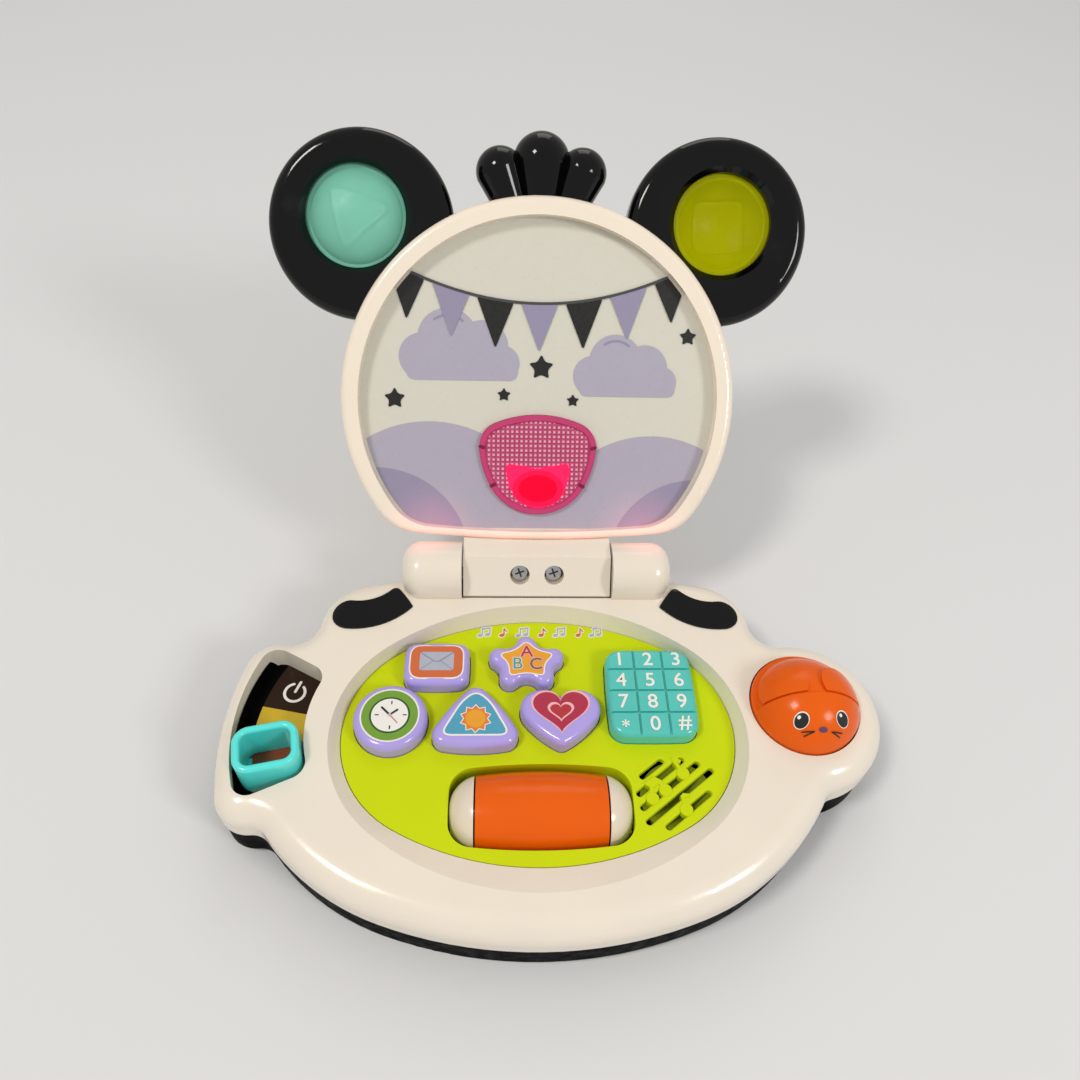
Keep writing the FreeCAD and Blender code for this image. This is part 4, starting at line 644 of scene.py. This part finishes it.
def letter_sticker():
    x, y = BUTTONS["star"]
    art = button_print("star")
    edge = star(x, y, 12, 7.3, 5, 3.6, 0.79)
    art.fill(edge, ink_white)
    art.fill(grown(edge, -0.5), ink_amber)
    for letter, dx, dy, rim, ink in (("A", 0.1, 4, ink_pink, ink_red), ("B", -3.6, -1.6, ink_white, ink_sea),
                                     ("C", 3.6, -1.8, ink_pink, ink_brown)):
        art.text(letter, x + dx, y + dy, 5.2, rim, 0.34)
        art.text(letter, x + dx, y + dy, 5.2, ink, 0.07)
    art.done("purple_keys")


def clock_sticker():
    x, y = BUTTONS["round"]
    art = button_print("round")
    for radius, ink in ((11, ink_white), (10.4, ink_green), (7.5, ink_pine), (6.8, ink_white)):
        art.fill(oval(x, y, radius, count=56), ink)
    for hour in range(4):
        cosine, sine = math.cos(math.pi / 2 * hour), math.sin(math.pi / 2 * hour)
        art.stroke([(x + 0.4 + r * cosine, y + r * sine) for r in (4.6, 5.7)], 0.45, ink_black)
    art.stroke([(x, y), (x + 2.7, y + 2.1)], 0.75, ink_black)
    art.stroke([(x, y), (x - 3.1, y + 3.1)], 0.75, ink_black)
    art.stroke([(x, y), (x + 3, y - 3.3)], 0.28, ink_red)
    art.fill(oval(x, y, 0.6), ink_slate)
    art.done("purple_keys")


def sun_sticker():
    x, y = BUTTONS["triangle"]
    art = button_print("triangle")
    corners = ((-13.4, -7.6), (13.4, -7.6), (5.6, 7), (0, 11.6), (-5.6, 7))
    edge = rounded([(x + dx, y + dy) for dx, dy in corners], 5)
    art.fill(edge, ink_white)
    art.fill(grown(edge, -0.7), ink_sky)
    sun_y = y - 0.6
    art.fill(star(x, sun_y, 6.1, 4.6, 10), ink_white)
    art.fill(star(x, sun_y, 5.6, 4.2, 10), ink_sun)
    art.fill(oval(x, sun_y, 3.7), ink_amber)
    art.done("purple_keys")


def heart_sticker():
    art = button_print("heart")
    for width, height, ink in ((22.4, 18.6, ink_pink), (20.8, 17.1, ink_rose), (10, 8.4, ink_pink),
                               (8, 6.5, ink_red)):
        art.fill(heart(*BUTTONS["heart"], width, height), ink)
    art.done("purple_keys")


def pad_digits():
    middle_x, middle_y, pitch_x, pitch_y = 43, 14.3, 11.13, 9.45
    art = Print("pad_digits", "number_pad_body", top_of("number_pad"), 0.02)
    for row, words in enumerate(("123", "456", "789", "*0#")):
        for column, word in enumerate(words):
            x, y = middle_x + pitch_x * (column - 1), middle_y + pitch_y * (1.5 - row)
            art.text(word, x, y, 4.8 if word == "*" else 5.9, ink_white, 0.1)
    art.done("teal_pad")


# Prints and thin walls on the base


def note(art, x, y, double, ink, extra):
    """A music note, or two joined ones, with extra width all round for its white edge."""
    heads = [(x - 1.5, y - 1.6), (x + 1.5, y - 1.2)] if double else [(x, y - 1.5)]
    for hx, hy in heads:
        art.fill(oval(hx, hy, 1.05 + extra, 0.8 + extra, 0.3), ink)
        art.stroke([(hx + 0.85, hy), (hx + 0.95, hy + 3.4)], 0.45 + 2 * extra, ink)
    if double:
        art.stroke([(x - 0.6, y + 1.6), (x + 2.5, y + 2)], 0.8 + 2 * extra, ink)
    else:
        art.stroke([(x + 0.95, y + 1.8), (x + 1.5, y + 0.9), (x + 2, y + 0.4)], 0.5 + 2 * extra, ink)


def panel_notes():
    """Single and double notes in turn along the back of the panel, over their white edges."""
    art = Print("panel_notes", "base", flat((0, 0, PANEL_TOP)), 0.004)
    places = (-21.5, -14.2, -6, 1.8, 9.2, 17, 24)
    for edge in (True, False):
        for i, x in enumerate(places):
            double = i % 2 == 0
            if edge:
                note(art, x, 45.6, double, ink_white, 0.4)
            else:
                note(art, x, 45.6, double, ink_slate if double else ink_orange, 0)
    art.done("lime_deck")


def window_skirt():
    """Thin lime wall under the edge of the roller's window."""
    middle_y, half_length, half_width, foot = -28.7, 34, 16.1, 17.5
    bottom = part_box("keyboard_panel")[0][2]
    edge = [v.co / MM for v in nodes["keyboard_panel"].data.vertices if abs(v.co.z - bottom) < 1e-5]
    edge = {(round(p.x, 3), round(p.y, 3)) for p in edge
            if abs(p.x) < half_length and abs(p.y - middle_y) < half_width}
    edge = grown(sorted(edge, key=lambda p: math.atan2(p[1] - middle_y, p[0])), 0.1)
    count = len(edge)
    verts = [Vector((x, y, z)) * MM for z in (bottom / MM, foot) for x, y in edge]
    faces = [(i, count + i, count + (i + 1) % count, (i + 1) % count) for i in range(count)]
    skirt = sheet_mesh("window_skirt", verts, faces, [deck], smooth=True)
    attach(skirt, "base")


def slider_label():
    """A bent label on the slider's floor: off at the far end, then two steps of on."""
    near, far, wall = 45.2, 64.6, 68.6
    art = Print("slider_label", "base", top_of("slider_tray"), 0.02)
    fields = ((near, far, 146, 168.4, tray), (near, far, 168.4, 182, ink_yellow),
              (near, far, 182, 205, ink_rust), (far, wall, 147, 206, black_base))
    for inner_radius, outer_radius, start, end, ink in fields:
        outer_arc = bend(*SLIDER_PIVOT, outer_radius, start, end)
        art.fill(outer_arc + bend(*SLIDER_PIVOT, inner_radius, end, start), ink)
    (x, y), _ = bend(*SLIDER_PIVOT, 55.6, 160, 160, 1)
    art.stroke(turned(bend(x, y, 3.9, 122, 418), x, y, -20), 1.1, ink_white)
    art.stroke(turned([(x, y + 0.4), (x, y + 4.9)], x, y, -20), 1.1, ink_white)
    art.done("tray")


def slider_liner():
    """Thin black sheet on the outer wall of the slider's recess."""
    steps = 40
    verts = []
    for radius, z in ((68.4, 24.1), (69.6, 28.6)):
        verts += [Vector((x, y, z)) * MM for x, y in bend(*SLIDER_PIVOT, radius, 147, 206, steps)]
    faces = [(i, i + 1, i + steps + 2, i + steps + 1) for i in range(steps)]
    liner = sheet_mesh("slider_liner", verts, faces, [black_base], smooth=True)
    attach(liner, "base")


def mouse_print():
    """Two eyes, a nose and whiskers."""
    middle = 101.8
    art = Print("mouse_print", "mouse_button_body", draped("mouse_button"), 0.04)
    for x, y in ((94.2, -4.6), (109.4, -4)):
        art.fill(oval(x, y, 2.7, 2.5), ink_white, 4)
        art.fill(oval(x, y - 0.1, 2.4, 2.2), ink_black, 4)
        art.fill(oval(x - 0.8, y + 0.9, 0.6, 0.55), ink_white, 2)
    art.fill(oval(middle, -7.7, 1.6, 0.75), ink_plum, 3)
    for side in (-1, 1):
        for reach, drop in ((4.2, -0.3), (3.4, 0.8)):
            path = [(middle + (3.2 + reach * k / 4) * side, -8.1 - drop * k / 4) for k in range(5)]
            art.stroke(path, 0.34, ink_black)
    art.done("orange_parts")


# The screen's picture: bunting over clouds and low hills


def screen_edge():
    """Outline of the visible screen, drawn in a little."""
    middle, radius, corner, turn = 68.8, 71.4, 19.6, 38.3
    x = (radius - corner) * math.cos(math.radians(turn))
    y = middle - (radius - corner) * math.sin(math.radians(turn))
    return (bend(0, middle, radius, -turn, 180 + turn, 80) + bend(-x, y, corner, 180 + turn, 270, 12)[1:]
            + bend(x, y, corner, 270, 360 - turn, 12)[:-1])


def cloud(art, x, y, scale):
    for dx, dy, radius in ((-13, -1, 8), (-4, 5, 10.5), (8, 2.5, 9), (15, -3, 6)):
        art.fill(oval(x + dx * scale, y + dy * scale, radius * scale), ink_lavender)
    art.fill(block(x + scale, y - 5.6 * scale, 39 * scale, 7 * scale, 3.4 * scale), ink_lavender)
    art.stroke(bend(x - 4 * scale, y + 5 * scale, 8 * scale, 50, 125, 8), 1, ink_violet)


def bunting(art, edge):
    """Seven flags, dark and violet in turn, on a cord that sags as a parabola."""
    half_span, low, sag, spread, half_flag, drop = 63, 108, 17, 0.28, 7.4, 19

    def cord(u):
        return half_span * u, low + sag * u * u
    for i in range(7):
        x, y = cord(spread * (i - 3))
        rise = half_flag * 2 * sag * spread * (i - 3) / half_span
        corners = [(x - half_flag, y - rise), (x, y - drop), (x + half_flag, y + rise)]
        art.fill(clipped(rounded(corners, 1.4), edge), ink_violet if i % 2 else ink_black)
    art.stroke([cord(0.8 * (i / 12 - 1)) for i in range(25)], 1.1, ink_grey)


def screen_print():
    art = Print("screen_print", "lid", on_screen, 0.02)
    edge = screen_edge()
    for x, top, radius, ink in ((-44, 61, 50, ink_lavender), (47, 56, 46, ink_lavender),
                                (-66, 42, 38, ink_violet), (66, 38, 36, ink_violet)):
        art.fill(clipped(oval(x, top - radius, radius, count=90), edge), ink)
    cloud(art, -32, 88, 1.15)
    cloud(art, 35, 81, 1.0)
    for x, y, size in ((-58, 70, 4.6), (1, 83, 5.4), (60, 96, 3.8), (14, 70, 2.8), (-14, 72, 3)):
        art.fill(star(x, y, size, size * 0.5, 5, size * 0.25), ink_black)
    bunting(art, edge)
    art.done("screen")


def hinge_cross_shade():
    """Painted shade of the cross recesses of the two hinge screws: black strokes on their heads."""
    art = Print("hinge_screw_cross_shade", "lid", on_screw_heads, 0.01)
    for x in (-7, 7):
        for turn in (20, 110):
            art.stroke(turned([(x - 1.7, 0), (x + 1.7, 0)], x, 0, turn), 0.7, ink_black)
    art.done("steel")


# The lamp's lens: a bevelled rim, a field of small prisms whose tops carry a painted highlight, a lit
# window, and painted shade of four notches in the rim

LENS_MIDDLE = 45
LENS_LOOKS = (
    ("lens_rim", (0.55, 0.06, 0.2), 0.06),
    ("lens_prisms", (0.56, 0.17, 0.32), 0.1),
    ("lens_window", (0.2, 0.004, 0.03), 0.85, (1, 0.02, 0.13), 0.1),
    # Flat tops of the prisms: a lighter pink than their sides, a painted highlight.
    ("lens_facets", (0.82, 0.45, 0.6), 0.08),
    ("lens_blush", (0.15, 0.002, 0.015), 0.88, (1, 0.008, 0.075), 0.07),
    ("lens_core", (0.1, 0, 0.004), 0.9, (1, 0, 0.035), 0.04),
    # Dark marks on the rim: painted shade of its notches.
    ("lens_clips", (0.2, 0.012, 0.06), 0.02),
)
RIM, PRISMS, WINDOW, PRISM_TOP_HIGHLIGHT, BLUSH, CORE, NOTCH_SHADE = range(len(LENS_LOOKS))


class Rings:
    """Rings of points at given heights above the lid, and the faces between them."""

    def __init__(self):
        self.verts, self.faces, self.slots = [], [], []

    def ring(self, points, height):
        start = len(self.verts)
        self.verts += [lid_at(x, y, height) for x, y in points]
        return range(start, len(self.verts))

    def bridge(self, first, second, slot):
        count = len(first)
        for i in range(count):
            j = (i + 1) % count
            self.faces.append((first[i], first[j], second[j], second[i]))
            self.slots.append(slot)

    def close(self, ring, slot):
        self.faces.append(tuple(ring))
        self.slots.append(slot)


def lens_outline():
    """The lens's outline and its highest level, from its CAD solid."""
    points = [in_lid(v.co) for v in nodes["light_lens"].data.vertices]
    top = max(p[2] for p in points)
    rim = [(p[0], p[1]) for p in points if p[2] > top - 1.2]
    return anticlockwise([rim[i] for i in geometry.convex_hull_2d(rim)]), top


def lens_prisms(lens, field, window, base):
    """Small blunt pyramids all over the field, apart from the window. Those at the field's edge stay low;
    their flat tops carry a lighter pink than their sides, a painted highlight.
    """
    pitch, flat_top, middle = 1.9, 0.9, 43
    clear = grown(window, -1.4)
    for row in range(-12, 12):
        for column in range(-14, 14):
            x, y = pitch * (column + 0.5), middle + pitch * (row + 0.5)
            foot = rectangle(x, y, pitch, pitch)
            kept = [inside(*corner, field) for corner in foot]
            if not any(kept) or inside(x, y, clear):
                continue
            low = lens.ring(foot, base - 0.5)
            tip = lens.ring(rectangle(x, y, flat_top, flat_top), base + (0.45 if all(kept) else 0))
            lens.bridge(low, tip, PRISMS)
            lens.close(tip, PRISM_TOP_HIGHLIGHT)


def lens_window(lens, window, base):
    """A raised smooth window with two ovals of brighter light on it."""
    crown = base + 0.6
    levels = ((window, base - 0.4), (window, base + 0.3), (grown(window, -0.8), crown))
    rings = [lens.ring(points, height) for points, height in levels]
    for first, second in zip(rings, rings[1:]):
        lens.bridge(first, second, WINDOW)
    lens.close(rings[-1], WINDOW)
    lens.close(lens.ring(oval(0.3, 34, 10.6, 7.6), crown + 0.02), BLUSH)
    lens.close(lens.ring(oval(0.3, 34, 8, 5.6), crown + 0.04), CORE)


def lens_clips(lens, outline, top):
    """Four short dark marks across the rim, two on each side: painted shade of the rim's notches."""
    middle = Vector((0, LENS_MIDDLE))
    for turn in (172, 208, 332, 8):
        x, y = 60 * math.cos(math.radians(turn)), 60 * math.sin(math.radians(turn))
        near = Vector(min(outline, key=lambda p: (p[0] - x) ** 2 + (p[1] - LENS_MIDDLE - y) ** 2))
        inward = (middle - near).normalized()
        lens.close(lens.ring(ribbon([near + inward * 0.5, near + inward * 2], 1.5), top + 0.03), NOTCH_SHADE)


def lamp_lens():
    outline, top = lens_outline()
    rim_width, rim_depth = 2.7, 1.2
    base = top - rim_depth
    lens = Rings()
    levels = ((0, -7.5), (0, top - 0.5), (-0.5, top), (-2.1, top), (-rim_width, base))
    rings = [lens.ring(grown(outline, amount), height) for amount, height in levels]
    for first, second in zip(rings, rings[1:]):
        lens.bridge(first, second, RIM)
    window = rounded([(-13.6, 45), (-12.6, 36), (-8.5, 28.6), (0.5, 25), (9.5, 28.6), (13, 36), (13.8, 45.4),
                      (0, 42.3)], 3.5)
    lens_prisms(lens, grown(outline, -rim_width), window, base)
    lens_window(lens, window, base)
    lens_clips(lens, outline, top)
    mats = [look_lens(*settings) for settings in LENS_LOOKS]
    piece = sheet_mesh("lamp_lens", lens.verts, lens.faces, mats, lens.slots)
    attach(piece, "lid")
    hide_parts("light_lens")


# Silicone ear bubbles: a flange, a dome and a fine ridge on it


def bubble(side, way, sides, inradius, turn, mat):
    """A dome that stands towards the user where way is 1, or is pushed through to the back where it is -1.

    The ridge on it is a polygon with the given number of sides, its inner radius and its turn.
    """
    name = "left_ear_bubble" if side < 0 else "right_ear_bubble"
    flange, dome, height, rise = 21.4, 18, 8, 0.7
    ridge_height, ridge_width, corner_sharpness = 0.34, 0.85, 0.75
    around, rings = 120, 56
    sphere = (dome * dome + height * height) / (2 * height)
    profile = []
    for i in range(1, rings + 1):
        r = dome * math.sin(math.pi / 2 * i / rings)
        profile.append((r, rise + math.sqrt(sphere * sphere - r * r) - sphere + height))
    profile += [(dome + 0.3, 0.75), (dome + 1.2, 0.55), (flange - 0.3, 0.55), (flange, 0.3), (flange, -0.4)]

    def at(r, h, angle):
        """A place on the dome, raised near the ridge."""
        walls = [r * math.cos(angle - turn - 2 * math.pi * i / sides) for i in range(sides)]
        reach = math.log(sum(math.exp(corner_sharpness * wall) for wall in walls)) / corner_sharpness
        across = (reach - inradius) / ridge_width
        raised = h + ridge_height * math.exp(-across * across)
        x, y = r * math.cos(angle), r * math.sin(angle)
        return lid_at(EAR_X * side + x, EAR_UP + y, EAR_DEPTH + way * raised)
    verts = [at(0, rise + height, 0)]
    verts += [at(r, h, 2 * math.pi * k / around) for r, h in profile for k in range(around)]
    faces = [(0, 1 + k, 1 + (k + 1) % around) for k in range(around)]
    for ring in range(len(profile) - 1):
        near = 1 + ring * around
        for k in range(around):
            m = (k + 1) % around
            faces.append((near + k, near + around + k, near + around + m, near + m))
    faces = faces if way > 0 else [f[::-1] for f in faces]
    piece = sheet_mesh(name + "_skin", verts, faces, [mat], smooth=True)
    thick = piece.modifiers.new("wall", "SOLIDIFY")
    thick.thickness = 1.1 * MM
    thick.offset = -1
    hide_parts(name)
    start = lid_at(EAR_X * side, EAR_UP, EAR_DEPTH + way * 0.6)
    end = lid_at(EAR_X * side, EAR_UP, EAR_DEPTH + way * (rise + height))
    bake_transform(piece)


photo_camera()
studio()
envelope_sticker()
letter_sticker()
clock_sticker()
sun_sticker()
heart_sticker()
pad_digits()
panel_notes()
window_skirt()
slider_label()
slider_liner()
mouse_print()
screen_print()
hinge_cross_shade()
lamp_lens()
bubble(-1, 1, 3, 7, math.radians(72), look_silicone("teal_silicone", (0.2, 0.55, 0.43)))
bubble(1, -1, 4, 10.4, math.radians(3), look_silicone("lime_silicone", (0.38, 0.39, 0), 0.06))
